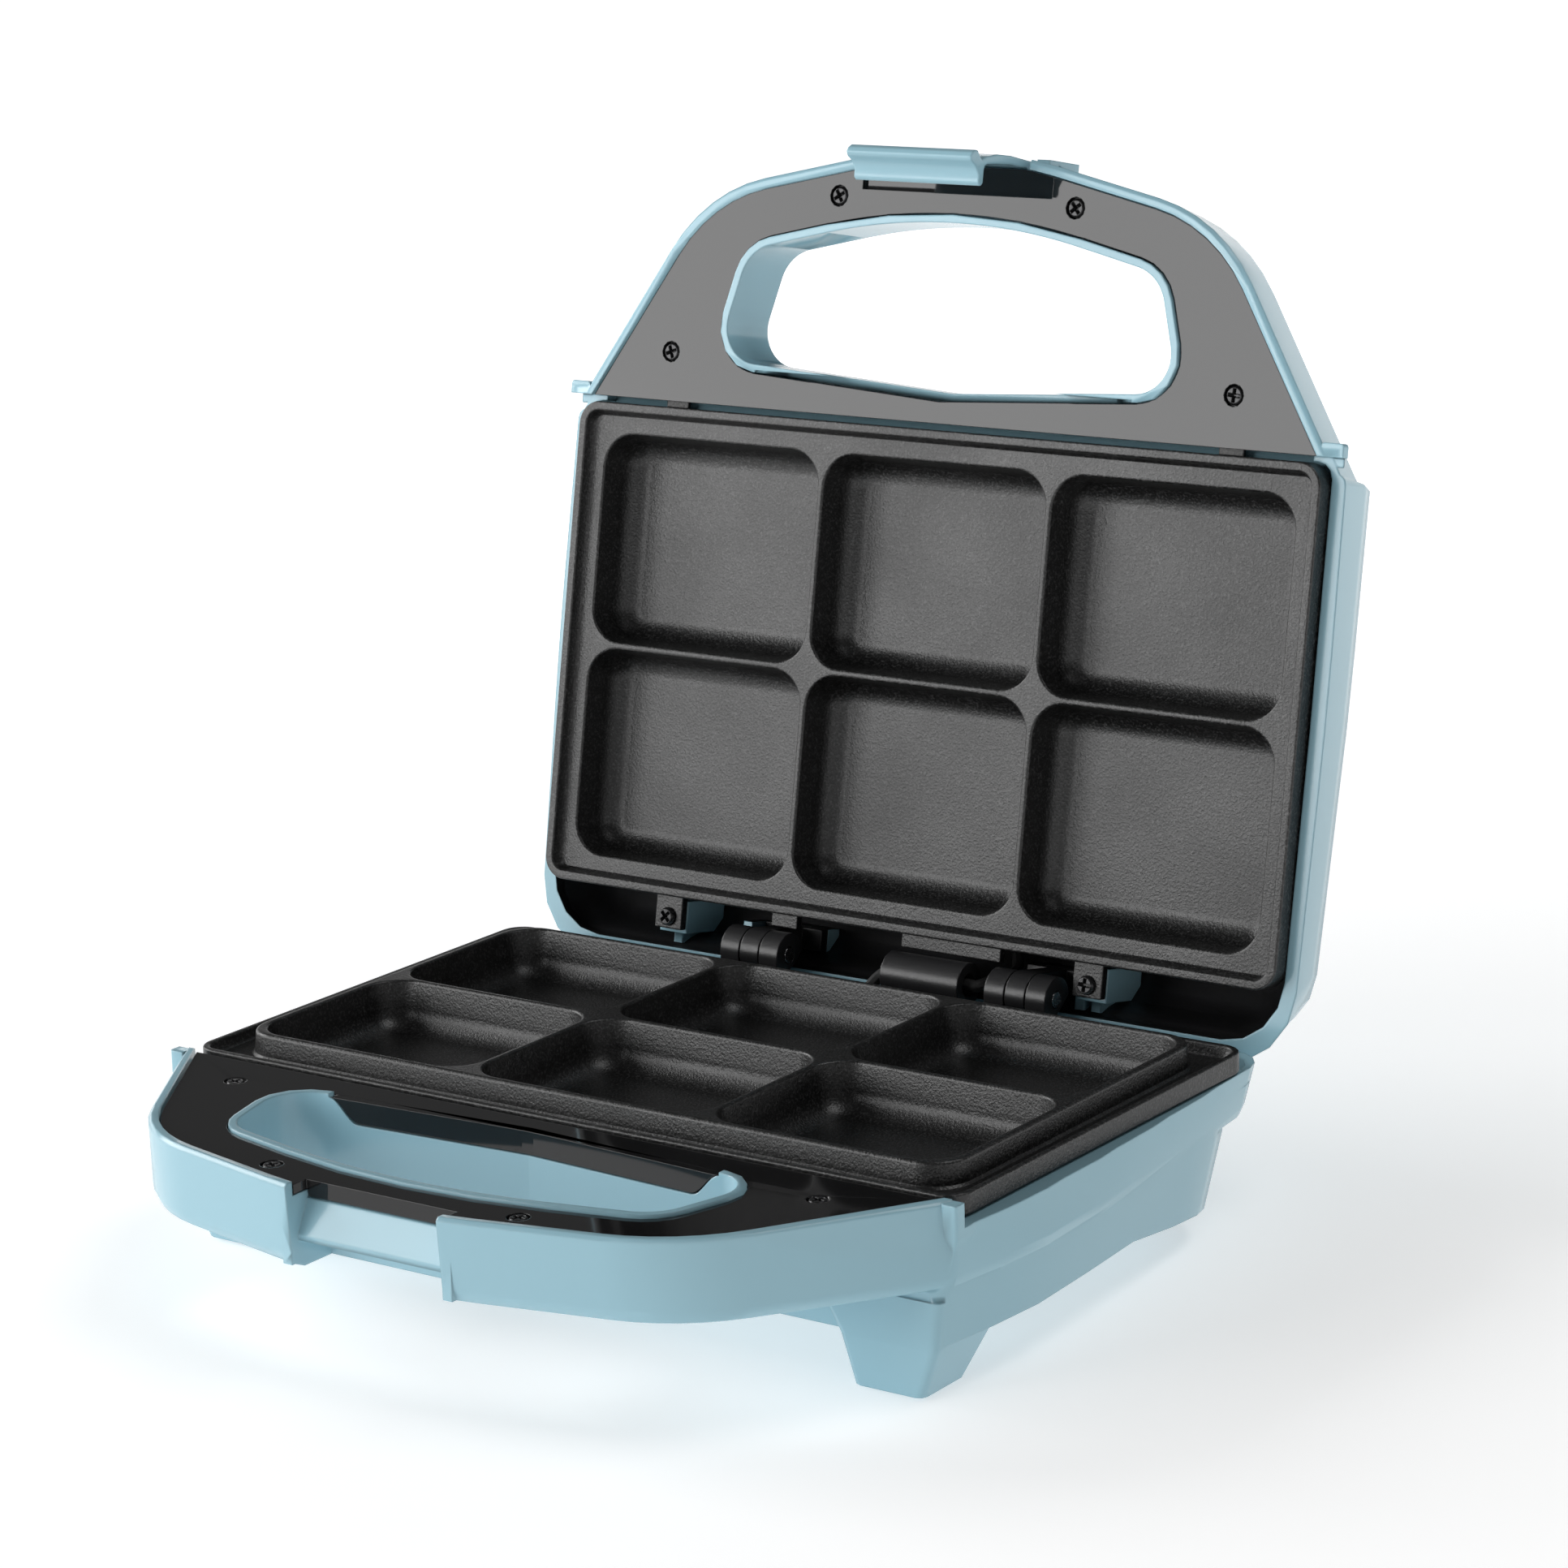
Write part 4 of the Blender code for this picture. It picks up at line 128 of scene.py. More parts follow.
def grain_of(material, size, detail=2.0, stretch=(1, 1, 1), kind="ShaderNodeTexNoise"):
    """Noise whose grains are about this many metres across."""
    nodes, links = material.node_tree.nodes, material.node_tree.links
    place = nodes.new("ShaderNodeTexCoord")
    scale = nodes.new("ShaderNodeMapping")
    scale.inputs["Scale"].default_value = stretch
    links.new(place.outputs["Object"], scale.inputs["Vector"])
    grain = nodes.new(kind)
    grain.inputs["Scale"].default_value = 1.0 / size
    if "Detail" in grain.inputs:
        grain.inputs["Detail"].default_value = detail
    links.new(scale.outputs["Vector"], grain.inputs["Vector"])
    return grain.outputs["Distance" if kind == "ShaderNodeTexVoronoi" else "Fac"]


# %% Helpers that join noise to the shader
def ranged(material, source, low, high, start=0.3, end=0.7):
    nodes, links = material.node_tree.nodes, material.node_tree.links
    spread = nodes.new("ShaderNodeMapRange")
    for socket, value in (
            ("From Min", start), ("From Max", end), ("To Min", low), ("To Max", high)):
        spread.inputs[socket].default_value = value
    links.new(source, spread.inputs["Value"])
    return spread.outputs["Result"]


def two_tone(material, share, first, second):
    nodes, links = material.node_tree.nodes, material.node_tree.links
    blend = nodes.new("ShaderNodeMix")
    blend.data_type = "RGBA"
    blend.inputs["A"].default_value = (*first, 1)
    blend.inputs["B"].default_value = (*second, 1)
    links.new(share, blend.inputs["Factor"])
    return blend.outputs["Result"]


def relief(material, height, depth, under):
    """Bumps of this depth, on top of the normal that is given."""
    nodes, links = material.node_tree.nodes, material.node_tree.links
    bump = nodes.new("ShaderNodeBump")
    bump.inputs["Strength"].default_value = 1.0
    bump.inputs["Distance"].default_value = depth
    links.new(height, bump.inputs["Height"])
    links.new(under, bump.inputs["Normal"])
    return bump.outputs["Normal"]


def soft_edges(material, radius):
    """Mould edges are never knife sharp: this rounds how they catch the light."""
    edge = material.node_tree.nodes.new("ShaderNodeBevel")
    edge.samples = 6
    edge.inputs["Radius"].default_value = radius
    return edge.outputs["Normal"]


# %% [markdown]
# Plastics first. The shells are a pale blue gloss ABS: light gets a little way into it, so the
# colour drifts by only a percent or two, and its gloss comes from a polished mould. The panels are
# a deeper black gloss whose reflections are almost those of a mirror. The hinge parts are the same
# black from a rougher mould.

# %% A moulded plastic
cloud_size, mould_grain = 0.045, 0.0005


def moulded(name, dark, light, roughness, edge, ripple=0.00003, sand=0.000004, coat=0.0):
    material, shader = start_finish(name, coat=coat)
    links = material.node_tree.links
    cloud = grain_of(material, cloud_size)
    fine = grain_of(material, mould_grain, 3.0)
    links.new(two_tone(material, cloud, dark, light), shader.inputs["Base Color"])
    gloss = ranged(material, fine, roughness * 0.86, roughness * 1.14)
    links.new(gloss, shader.inputs["Roughness"])
    normal = soft_edges(material, edge)
    normal = relief(material, cloud, ripple, normal)
    normal = relief(material, fine, sand, normal)
    links.new(normal, shader.inputs["Normal"])
    print(name, "roughness", roughness)
    return material


blue_plastic = moulded(
    "blue plastic", (0.286, 0.482, 0.562), (0.300, 0.500, 0.582), 0.18, 0.0007,
    ripple=0.00002, sand=0.0000008)
black_gloss = moulded(
    "black gloss", (0.008, 0.008, 0.0085), (0.012, 0.012, 0.0125), 0.05, 0.0003,
    ripple=0.00001, sand=0.0000001)
black_plastic = moulded(
    "black plastic", (0.010, 0.010, 0.011), (0.018, 0.018, 0.019), 0.34, 0.0004, sand=0.00002)
white_plastic = moulded(
    "white insulation", (0.74, 0.73, 0.70), (0.80, 0.79, 0.76), 0.4, 0.0004)
black_rubber = moulded(
    "rubber", (0.014, 0.014, 0.014), (0.022, 0.022, 0.022), 0.7, 0.0005, sand=0.00004)
red_lens = moulded("red lens", (0.5, 0.015, 0.01), (0.6, 0.03, 0.02), 0.1, 0.0003, coat=0.4)
green_lens = moulded("green lens", (0.02, 0.28, 0.06), (0.04, 0.36, 0.1), 0.1, 0.0003, coat=0.4)

# %% [markdown]
# The plates' non-stick coat is sprayed and baked: a dark grey film with a fine speckle, where
# single grains stand up and catch the light. Voronoi cells make those grains, one noise breaks them
# up, and a broader one lets the satin sheen wander a little over the casting.

# %% The non-stick coat
def coating(grain=0.0007, dust_size=0.0006, drift=0.03):
    material, shader = start_finish("non-stick coat", specular=0.62)
    links = material.node_tree.links
    cells = grain_of(material, grain, kind="ShaderNodeTexVoronoi")
    dust = grain_of(material, dust_size, 4.0)
    cloud = grain_of(material, drift)
    speck = ranged(material, dust, 0.0, 1.0, 0.50, 0.72)
    colour = two_tone(material, speck, (0.003, 0.003, 0.003), (0.055, 0.055, 0.055))
    links.new(colour, shader.inputs["Base Color"])
    links.new(ranged(material, cloud, 0.34, 0.42), shader.inputs["Roughness"])
    normal = soft_edges(material, 0.0003)
    normal = relief(material, cells, 0.00004, normal)
    normal = relief(material, dust, 0.00009, normal)
    links.new(normal, shader.inputs["Normal"])
    print("non-stick coat: grains of about", dust_size * 1000, "mm")
    return material


coated_metal = coating()

# %% [markdown]
# Bare metals come last: drawn wire and turned pins with lines along them, rolled tin plate with
# fine lines across it, and the element's tube, browned by heat. The lines are noise stretched one
# way by the Mapping node. The fuse's and thermostat's bodies are unglazed ceramic.

# %% A worked metal
def worked(name, dark, light, roughness, metallic=1.0, stretch=(1, 1, 1), depth=0.000006):
    material, shader = start_finish(name, metallic=metallic)
    links = material.node_tree.links
    lines = grain_of(material, 0.0006, 3.0, stretch)
    cloud = grain_of(material, 0.012)
    links.new(two_tone(material, cloud, dark, light), shader.inputs["Base Color"])
    gloss = ranged(material, lines, roughness * 0.8, roughness * 1.25)
    links.new(gloss, shader.inputs["Roughness"])
    normal = relief(material, lines, depth, soft_edges(material, 0.0003))
    links.new(normal, shader.inputs["Normal"])
    return material


black_steel = worked(
    "blackened screw", (0.020, 0.020, 0.021), (0.060, 0.060, 0.062), 0.28, metallic=0.6)
bright_steel = worked(
    "bright steel", (0.52, 0.52, 0.53), (0.62, 0.62, 0.63), 0.24, stretch=(0.1, 1, 1))
sheath_metal = worked(
    "element tube", (0.15, 0.12, 0.10), (0.30, 0.27, 0.25), 0.42, metallic=0.85)
tin_sheet = worked(
    "tin plate", (0.58, 0.58, 0.59), (0.68, 0.68, 0.69), 0.3, stretch=(0.06, 1, 1))
ceramic = worked(
    "ceramic", (0.70, 0.66, 0.60), (0.80, 0.77, 0.72), 0.55, metallic=0.0, depth=0.00003)
finishes = {
    "blue_plastic": blue_plastic, "black_gloss": black_gloss, "black_plastic": black_plastic,
    "coated_metal": coated_metal, "black_steel": black_steel, "bright_steel": bright_steel,
    "sheath_metal": sheath_metal, "tin_sheet": tin_sheet, "ceramic": ceramic,
    "black_rubber": black_rubber, "white_plastic": white_plastic, "red_lens": red_lens,
    "green_lens": green_lens,
}
print("finishes:", len(finishes))

# %% [markdown]
# Each solid has a body that it moves with and a slot that names its finish. Both are looked up
# once, and every solid gets its finish now. Those that are replaced later pass theirs on.

# %% Bodies and slots
bodies = frame["record"]["behaviour"]["bodies"]
body_of_node = {node: body for body, members in bodies.items() for node in members}
slot_of_node = {row["node"]: row["material_slot"] for row in frame["record"]["subparts"]}
for node, solid in frame["nodes"].items():
    for held in solid.material_slots:
        held.material = finishes[slot_of_node[node]]
print("solids:", len(frame["nodes"]), "bodies:", sorted(set(body_of_node.values())))


# %% A helper that puts a piece in place of a solid
def stand_for(piece, *nodes):
    """The piece takes the first node's finish, moves with its body, and hides all of them."""
    if not piece.data.materials:
        piece.data.materials.append(finishes[slot_of_node[nodes[0]]])
    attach(piece, body_of_node[nodes[0]])
    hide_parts(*nodes)


# %% [markdown]
# The solids' own sizes come back all through this script. The closed cake maker is drawn with the
# plates' rear edge along y and the line where the shells part at z = 0, then moved to where it
# stands, and what belongs to the lid is swung open about the hinge.

# %% Where the closed model stands, and where its lid swings to
plate_width, plate_depth, handle_reach = 0.220, 0.1262, 0.0668
panel_half = plate_width / 2 - 0.0028
world_shift = Vector((0.0, -0.0626581, 0.046))
hinge_y, hinge_z, lid_open = plate_depth + 0.010, 0.0004, math.radians(100.9)
base_place = Matrix.Translation(world_shift)
hinge_place = Matrix.Translation((0, hinge_y, hinge_z))
lid_place = (
    base_place @ hinge_place @ Matrix.Rotation(-lid_open, 4, "X")
    @ Matrix.Translation((0, -hinge_y, -hinge_z)))
print("lid opens", round(math.degrees(lid_open), 1), "degrees")

# %% [markdown]
# The solids are made of flat triangles, so a curved wall shows its facets. Real mouldings run
# smoothly there and turn sharply only at true edges. A subdivision surface would swell them, so the
# mesh is copied, merged, freed of needless edges and shaded smooth up to an angle. Where a solid is
# simple its true edges get a narrow bevel as well, and face-weighted normals keep its flats flat.

# %% Helpers for smooth shading
smooth_angle, flat_angle, doubled = math.radians(34), math.radians(0.4), 0.000002


def freed(made):
    """Merge doubled points and dissolve the edges that only cross a flat face."""
    bmesh.ops.remove_doubles(made, verts=made.verts, dist=doubled)
    bmesh.ops.dissolve_limit(
        made, angle_limit=flat_angle, verts=made.verts, edges=made.edges,
        use_dissolve_boundaries=False)
    return made


def settled(piece):
    """The piece with its modifiers turned into plain mesh."""
    bpy.context.view_layer.update()
    shown = piece.evaluated_get(bpy.context.evaluated_depsgraph_get())
    mesh = bpy.data.meshes.new_from_object(shown)
    piece.modifiers.clear()
    piece.data = mesh
    return piece


def evened(piece):
    """The piece settled with face-weighted normals."""
    even = piece.modifiers.new("even", "WEIGHTED_NORMAL")
    even.keep_sharp = True
    return settled(piece)


# %% A softened copy of a solid
def softened(node, bevel):
    made = bmesh.new()
    made.from_mesh(frame["nodes"][node].data)
    mesh = mesh_of(node + "_soft", freed(made))
    mesh.materials.clear()
    mesh.materials.append(finishes[slot_of_node[node]])
    mesh.shade_smooth()
    mesh.set_sharp_from_angle(angle=smooth_angle)
    piece = put(node + "_soft", mesh)
    if bevel:
        rounding = piece.modifiers.new("rounding", "BEVEL")
        rounding.width = bevel
        rounding.segments = 2
        rounding.limit_method = "ANGLE"
        rounding.angle_limit = math.radians(40)
    return evened(piece)


# %% Soften the shells and the plain solids
rounded_by = {
    "base_shell": 0.0, "lid_shell": 0.0, "base_handle_panel": 0.0, "lid_handle_panel": 0.0,
    "latch": 0.00025, "hinge_block_left": 0.0, "hinge_block_right": 0.0, "hinge_arm_left": 0.0003,
    "hinge_arm_right": 0.0003, "lead_guard": 0.0003, "cord_gland": 0.0, "terminal_block": 0.0002,
    "foot_pad_front_right": 0.0004, "foot_pad_front_left": 0.0004, "foot_pad_rear_right": 0.0004,
    "foot_pad_rear_left": 0.0004, "power_light_lens": 0.0002, "ready_light_lens": 0.0002,
    "thermostat": 0.0002, "thermal_fuse": 0.0002, "base_lead": 0.0, "lid_lead": 0.0,
    "lower_heating_element": 0.0, "upper_heating_element": 0.0, "lower_heat_shield": 0.0,
    "upper_heat_shield": 0.0, "hinge_pin_left": 0.0, "hinge_pin_right": 0.0, "latch_pin": 0.0,
}
rounded_by.update({node: 0.0002 for node in sorted(slot_of_node) if "_clamp_" in node})
dressed = {node: softened(node, bevel) for node, bevel in rounded_by.items()}
faces = sum(len(piece.data.polygons) for piece in dressed.values())
print("softened:", len(dressed), "pieces,", faces, "faces")

# %% [markdown]
# Much of the cake maker is easiest to draw in plan. An outline here is a list of corners, each
# (x, y, radius, steps), that runs anticlockwise seen from above. One helper moves an outline in or
# out, and another turns it into points with an arc at each corner.

# %% Outlines
least_radius = 0.0002


def towards(corners, place, here):
    """The way to the corner before this one and to the one after it."""
    before = Vector(corners[place - 1][:2])
    after = Vector(corners[(place + 1) % len(corners)][:2])
    return (before - here).normalized(), (after - here).normalized()


def offset_corners(corners, distance):
    moved = []
    for place, (x, y, radius, steps) in enumerate(corners):
        back, ahead = towards(corners, place, Vector((x, y)))
        outward = Vector((ahead.y - back.y, back.x - ahead.x))
        shift = outward * (distance / (1 - back.dot(ahead)))
        moved.append((x + shift.x, y + shift.y, max(radius + distance, least_radius), steps))
    return moved


def outline_points(corners):
    points = []
    for place, (x, y, radius, steps) in enumerate(corners):
        if not steps:
            points.append((x, y))
            continue
        here = Vector((x, y))
        back, ahead = towards(corners, place, here)
        half = back.angle(ahead) / 2
        centre = here + (back + ahead).normalized() * (radius / math.sin(half))
        start = here + back * (radius / math.tan(half)) - centre
        sweep = start.angle_signed(here + ahead * (radius / math.tan(half)) - centre)
        for step in range(steps + 1):
            turned = -sweep * step / steps
            cos, sin = math.cos(turned), math.sin(turned)
            points.append((
                centre.x + start.x * cos - start.y * sin,
                centre.y + start.x * sin + start.y * cos))
    return points


def rectangle(half_width, front, back, radius, x=0.0):
    return [
        (x - half_width, front, radius, 10), (x + half_width, front, radius, 10),
        (x + half_width, back, radius, 10), (x - half_width, back, radius, 10)]


def strips(made, loops):
    """Quads between one closed outline and the next."""
    for first, second in zip(loops, loops[1:]):
        for place in range(len(first)):
            after = (place + 1) % len(first)
            made.faces.new((first[place], first[after], second[after], second[place]))


# %% [markdown]
# The hand holes are seen against the light, so their edge has to run round without a kink. The
# solids use few steps there. Both sleeves are bored out once more with the same outline in fine
# steps, which takes off no more than the slivers between the old chords and the true curve. The
# lid's panel is bored too, so that the sleeve's blue rim shows all the way round. Each corner
# stands at a share of the hole's half width and of its reach, as it does in the solids.

# %% The hand hole's outline
hole_half, hole_near, hole_reach = 0.0683, -0.0073, 0.0454
tip_bow, front_round, rear_round = hole_half * 2.489, 0.013, 0.0116
right_corners = [
    (0.0, hole_near - hole_reach * 1.112, tip_bow, 28),
    (hole_half * 0.914, hole_near - hole_reach * 0.798, front_round, 12),
    (hole_half * 1.042, hole_near - hole_reach * 0.095, rear_round, 12),
    (0.0, hole_near, 0.0, 0)]
left_corners = [(-x, *others) for x, *others in reversed(right_corners) if x]
hole_outline = right_corners + left_corners
print("hand hole, mm:", round(2000 * hole_half, 1), "by", round(1000 * hole_reach, 1))


# %% Bore the hand holes smooth
def cut_away(piece, cutter, smooth_to=smooth_angle):
    """Cut one shape from another and leave plain mesh."""
    cut = piece.modifiers.new("cut", "BOOLEAN")
    cut.operation = "DIFFERENCE"
    cut.solver = "EXACT"
    cut.object = cutter
    settled(piece)
    bpy.data.objects.remove(cutter)
    made = bmesh.new()
    made.from_mesh(piece.data)
    freed(made).to_mesh(piece.data)
    made.free()
    piece.data.set_sharp_from_angle(angle=smooth_to)
    return evened(piece)


def bore(piece, place, low, high, distance, smooth_to=smooth_angle):
    """Cut the hand hole, this much wider all round, out of a piece."""
    made = bmesh.new()
    points = outline_points(offset_corners(hole_outline, distance))
    loops = [[made.verts.new((x, y, z)) for x, y in points] for z in (low, high)]
    strips(made, loops)
    for loop in loops:
        made.faces.new(loop)
    bmesh.ops.recalc_face_normals(made, faces=made.faces)
    made.transform(place)
    cut_away(piece, put("bore", mesh_of("bore", made)), smooth_to)


overrun, sleeve_wall, panel_gap = 0.004, 0.002, 0.0003
bore(dressed["lid_shell"], lid_place, -overrun, 0.05, -sleeve_wall)
bore(dressed["base_shell"], base_place, -0.045, overrun, -sleeve_wall)
bore(dressed["lid_handle_panel"], lid_place, -overrun, 0.02, panel_gap, math.radians(12))
print("faces now:", [len(dressed[node].data.polygons) for node in ("lid_shell", "base_shell")])

# %% [markdown]
# At the plate side of the base's hand hole the blue sleeve steps down, and a black skirt of the
# panel fills the step. The sleeve runs at a slight slant there, so the step is cut again along that
# slant, and the skirt is a strip that follows it. Cutter and strip are one shape at two sizes.

# %% The step along the hand hole
hole_slant, step_ramp, panel_top = 0.0606, 0.008, -0.0005


def along_the_hole(name, narrow, bottom, top, near, far):
    """A slanted strip between two depths, whose lower corners are eased by ramps."""
    right = []
    for step in range(9):
        share = step / 8
        rise = share * share * (3 - 2 * share)
        right.append((narrow + step_ramp * share, bottom + (panel_top - bottom) * rise))
    if top > panel_top:
        right.append((narrow + step_ramp, top))
    outline = [(0.0, bottom)] + right + [(0.0, top)] + [(-x, z) for x, z in reversed(right)]
    made = bmesh.new()
    ends = [
        [made.verts.new((x, y - hole_slant * abs(x), z)) for x, z in outline] for y in (near, far)]
    strips(made, ends)
    half = len(outline) // 2
    for end in ends:
        made.faces.new(end[:half + 1])
        made.faces.new([end[0]] + end[half:])
    bmesh.ops.recalc_face_normals(made, faces=made.faces)
    made.transform(base_place)
    return put(name, mesh_of(name, made))


# %% Cut the step and set the skirt
shell = dressed["base_shell"]
before = len(shell.data.polygons)
cut_away(shell, along_the_hole("step_cutter", 0.048, -0.0063, 0.002, -0.0097, -0.00695))
skirt = along_the_hole("base_panel_skirt", 0.0477, -0.0060, panel_top, -0.0092, -0.0068)
skirt.data.materials.append(black_gloss)
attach(skirt, "base")
print("base shell faces before and after the step:", before, len(shell.data.polygons))

# %% [markdown]
# Behind the upper plate the lid's room is painted black. This is painted shade: the real shell is
# blue there and only lies in deep shade. Painting needs no new shape: the faces of the room's rear
# wall, corners and roof take a second finish. They are told apart by where they lie, and which way
# they look, when the lid is closed.

# %% Paint shade on the lid's room in black
room_half, room_end, room_top = 0.1125, 0.136, 0.012
lid_shell = dressed["lid_shell"]
# painted shade: the black second finish stands in for the deep shade in the lid's room
lid_shell.data.materials.append(black_plastic)
closed = lid_place.inverted()
facing = closed.to_3x3()
shade_painted = 0
for face in lid_shell.data.polygons:
    (x, y, z), normal = closed @ face.center, facing @ face.normal
    if abs(x) >= room_half:
        continue
    rear_wall = y > plate_depth + 0.002 and normal.y < -0.35
    corner = y > plate_depth * 0.8 and abs(x) > 0.1 and normal.x * x < 0 and abs(normal.x) > 0.35
    roof = 0.0 < y < room_end and z > room_top and normal.z < -0.5
    if rear_wall or corner or roof:
        face.material_index = 1
        shade_painted += 1
print("lined faces:", shade_painted)

# %% Put the softened copies in place of the solids
for node, piece in dressed.items():
    stand_for(piece, node)
print("in place:", len(dressed))

# %% [markdown]
# The plates are the heart of the thing: each a casting with six square pockets whose walls lean out
# a little and roll into the floor on a wide fillet. They could be cut from a block, but rings are
# cleaner: each step of a profile is an outline, pushed inward and set at a height. Strips join the
# rings, and a web closes the top round the six pockets, so nothing has to be cut.

# %% Rings and webs
def ring(made, corners, inset, z):
    points = outline_points(offset_corners(corners, -inset))
    return [made.verts.new((x, y, z)) for x, y in points]


def web(made, loops):
    """A flat face between one outline and the holes in it."""
    edges = []
    for loop in loops:
        for place in range(len(loop)):
            pair = (loop[place], loop[(place + 1) % len(loop)])
            edges.append(made.edges.get(pair) or made.edges.new(pair))
    bmesh.ops.triangle_fill(made, use_beauty=True, use_dissolve=False, edges=edges)


# %% [markdown]
# The plate sizes are those of the solids. The middle pocket is a fixed share of the plate's width,
# and the side pockets take what the borders and the narrow ridges leave.

# %% Plate sizes
plate_corner, plate_wall, pan_taper = 0.006, 0.002, 0.004
lip_width, lip_round, lip_gap = 0.0017, 0.0005, 0.0005
trough_depth, trough_side, trough_ease = 0.0028, 0.0006, 0.0011
island_side, island_front, island_back, island_corner = 0.0082, 0.0083, 0.0079, 0.009
island_height, island_round = 0.0032, 0.0009
field_recess, field_lip = 0.003, 0.0024
lower_skirt, upper_skirt = 0.0052, 0.0065
ridge, pocket_depth, pocket_corner = 0.0019, 0.012, 0.0088
draft, floor_fillet, rim_round = 0.001, 0.006, 0.0007
front_border, rear_border, upper_side, lower_side = 0.0081, 0.0075, 0.00725, 0.01045
middle_width = plate_width * 0.3005
side_space = (plate_width - middle_width) / 2 - ridge
upper_side_width, lower_side_width = side_space - upper_side, side_space - lower_side
upper_length = (plate_depth - ridge - front_border - rear_border) / 2
lower_length = upper_length - 0.0022
pocket_middle = front_border + upper_length + ridge / 2
pocket_sizes = (middle_width, upper_side_width, upper_length)
print("pockets, mm:", [round(value * 1000, 1) for value in pocket_sizes])


# %% Pockets
def pocket_rings(made, corners, mouth, floor):
    """One pocket: a rolled rim, a leaning wall, a wide fillet and a flat floor."""
    up = math.copysign(1, mouth - floor)
    loops = []
    for step in range(5):
        turn = math.radians(90) * step / 4
        inset = -rim_round * (1 - math.sin(turn))
        loops.append(ring(made, corners, inset, mouth - up * rim_round * (1 - math.cos(turn))))
    for step in range(13):
        turn = math.radians(90) * step / 12
        inset = draft + floor_fillet * (1 - math.cos(turn))
        loops.append(ring(made, corners, inset, floor + up * floor_fillet * (1 - math.sin(turn))))
    strips(made, loops)
    made.faces.new(loops[-1])
    return loops[0]


def six_pockets(made, side_width, length, mouth, floor):
    rims = []
    near = length / 2 + ridge / 2
    step = middle_width / 2 + ridge + side_width / 2
    for x, width in ((-step, side_width), (0.0, middle_width), (step, side_width)):
        for y in (-near, near):
            middle = pocket_middle + y
            corners = rectangle(
                width / 2, middle - length / 2, middle + length / 2, pocket_corner, x)
            rims.append(pocket_rings(made, corners, mouth, floor))
    return rims


# %% Helpers for a plate's edges and its finish
def arc(corners, inset, z, radius, start, steps=3):
    """Rings round an edge: inset and z are the edge's own, start says which side it turns from."""
    found = []
    for step in range(steps + 1):
        turn = math.radians(90) * step / steps
        over, down = radius * (1 - math.cos(turn)), radius * (1 - math.sin(turn))
        if start == "side":
            found.append((corners, inset + over, z - down))
        else:
            found.append((corners, inset - down, z - over))
    return found


def finished_plate(name, made, place):
    bmesh.ops.recalc_face_normals(made, faces=made.faces)
    made.transform(place)
    mesh = mesh_of(name, made)
    mesh.shade_smooth()
    mesh.set_sharp_from_angle(angle=smooth_angle)
    return evened(put(name, mesh))


# %% [markdown]
# The lower plate has a narrow lip, a trough that catches what runs over, and a raised island with
# the pockets. Below it the casting is a plain pan.

# %% Lower baking plate
made = bmesh.new()
outer = rectangle(plate_width / 2, 0.0, plate_depth, plate_corner)
island = rectangle(
    plate_width / 2 - island_side, island_front, plate_depth - island_back, island_corner)
under, floor_z = -trough_depth - plate_wall, island_height - pocket_depth
trough_edge = -trough_depth + trough_side
profile = [
    (island, pan_taper, floor_z - plate_wall), (island, -plate_wall / 2, under),
    (outer, plate_wall, under), (outer, plate_wall, -lower_skirt),
    (outer, lip_round, -lower_skirt), (outer, 0.0, -lower_skirt + lip_round)]
profile += arc(outer, 0.0, 0.0, lip_round, "side")
profile += arc(outer, lip_width, 0.0, lip_round, "top")
profile += [
    (outer, lip_width + lip_round, trough_edge), (outer, lip_width + trough_ease, -trough_depth),
    (island, -trough_ease, -trough_depth), (island, -lip_round, trough_edge)]
profile += arc(island, 0.0, island_height, island_round, "side", 4)
loops = [ring(made, *step) for step in profile]
strips(made, loops)
made.faces.new(loops[0])
rims = six_pockets(made, lower_side_width, lower_length, island_height, floor_z)
web(made, [loops[-1]] + rims)
lower_plate = finished_plate("lower_plate", made, base_place)
stand_for(lower_plate, "lower_baking_plate")
print("lower plate:", len(lower_plate.data.polygons), "faces")

# %% [markdown]
# The upper plate has no island: a low lip runs round a sunk field. Lugs behind it take the two
# screws, and two small tabs in front hook under the handle's panel. The rings of its lip are those
# of the lower plate, turned upside down.

# %% Upper baking plate
made = bmesh.new()
field = offset_corners(outer, -field_lip)
low = lip_gap
field_z = low + field_recess
roof, under, skirt_z = field_z + pocket_depth, field_z + plate_wall, low + upper_skirt
pan = rectangle(
    middle_width / 2 + ridge + upper_side_width + plate_wall,
    pocket_middle - upper_length - ridge / 2 - plate_wall,
    pocket_middle + upper_length + ridge / 2 + plate_wall, plate_corner + plate_wall)
profile = [
    (pan, pan_taper, roof + plate_wall), (pan, 0.0, under), (outer, plate_wall, under),
    (outer, plate_wall, skirt_z), (outer, lip_round, skirt_z), (outer, 0.0, skirt_z - lip_round)]
lip = arc(outer, 0.0, low, lip_round, "side") + arc(outer, field_lip, low, lip_round, "top")
profile += [(corners, inset, 2 * low - z) for corners, inset, z in lip]
profile += [(field, lip_round, field_z - trough_side), (field, trough_ease, field_z)]
loops = [ring(made, *step) for step in profile]
strips(made, loops)
made.faces.new(loops[0])
web(made, [loops[-1]] + six_pockets(made, upper_side_width, upper_length, field_z, roof))


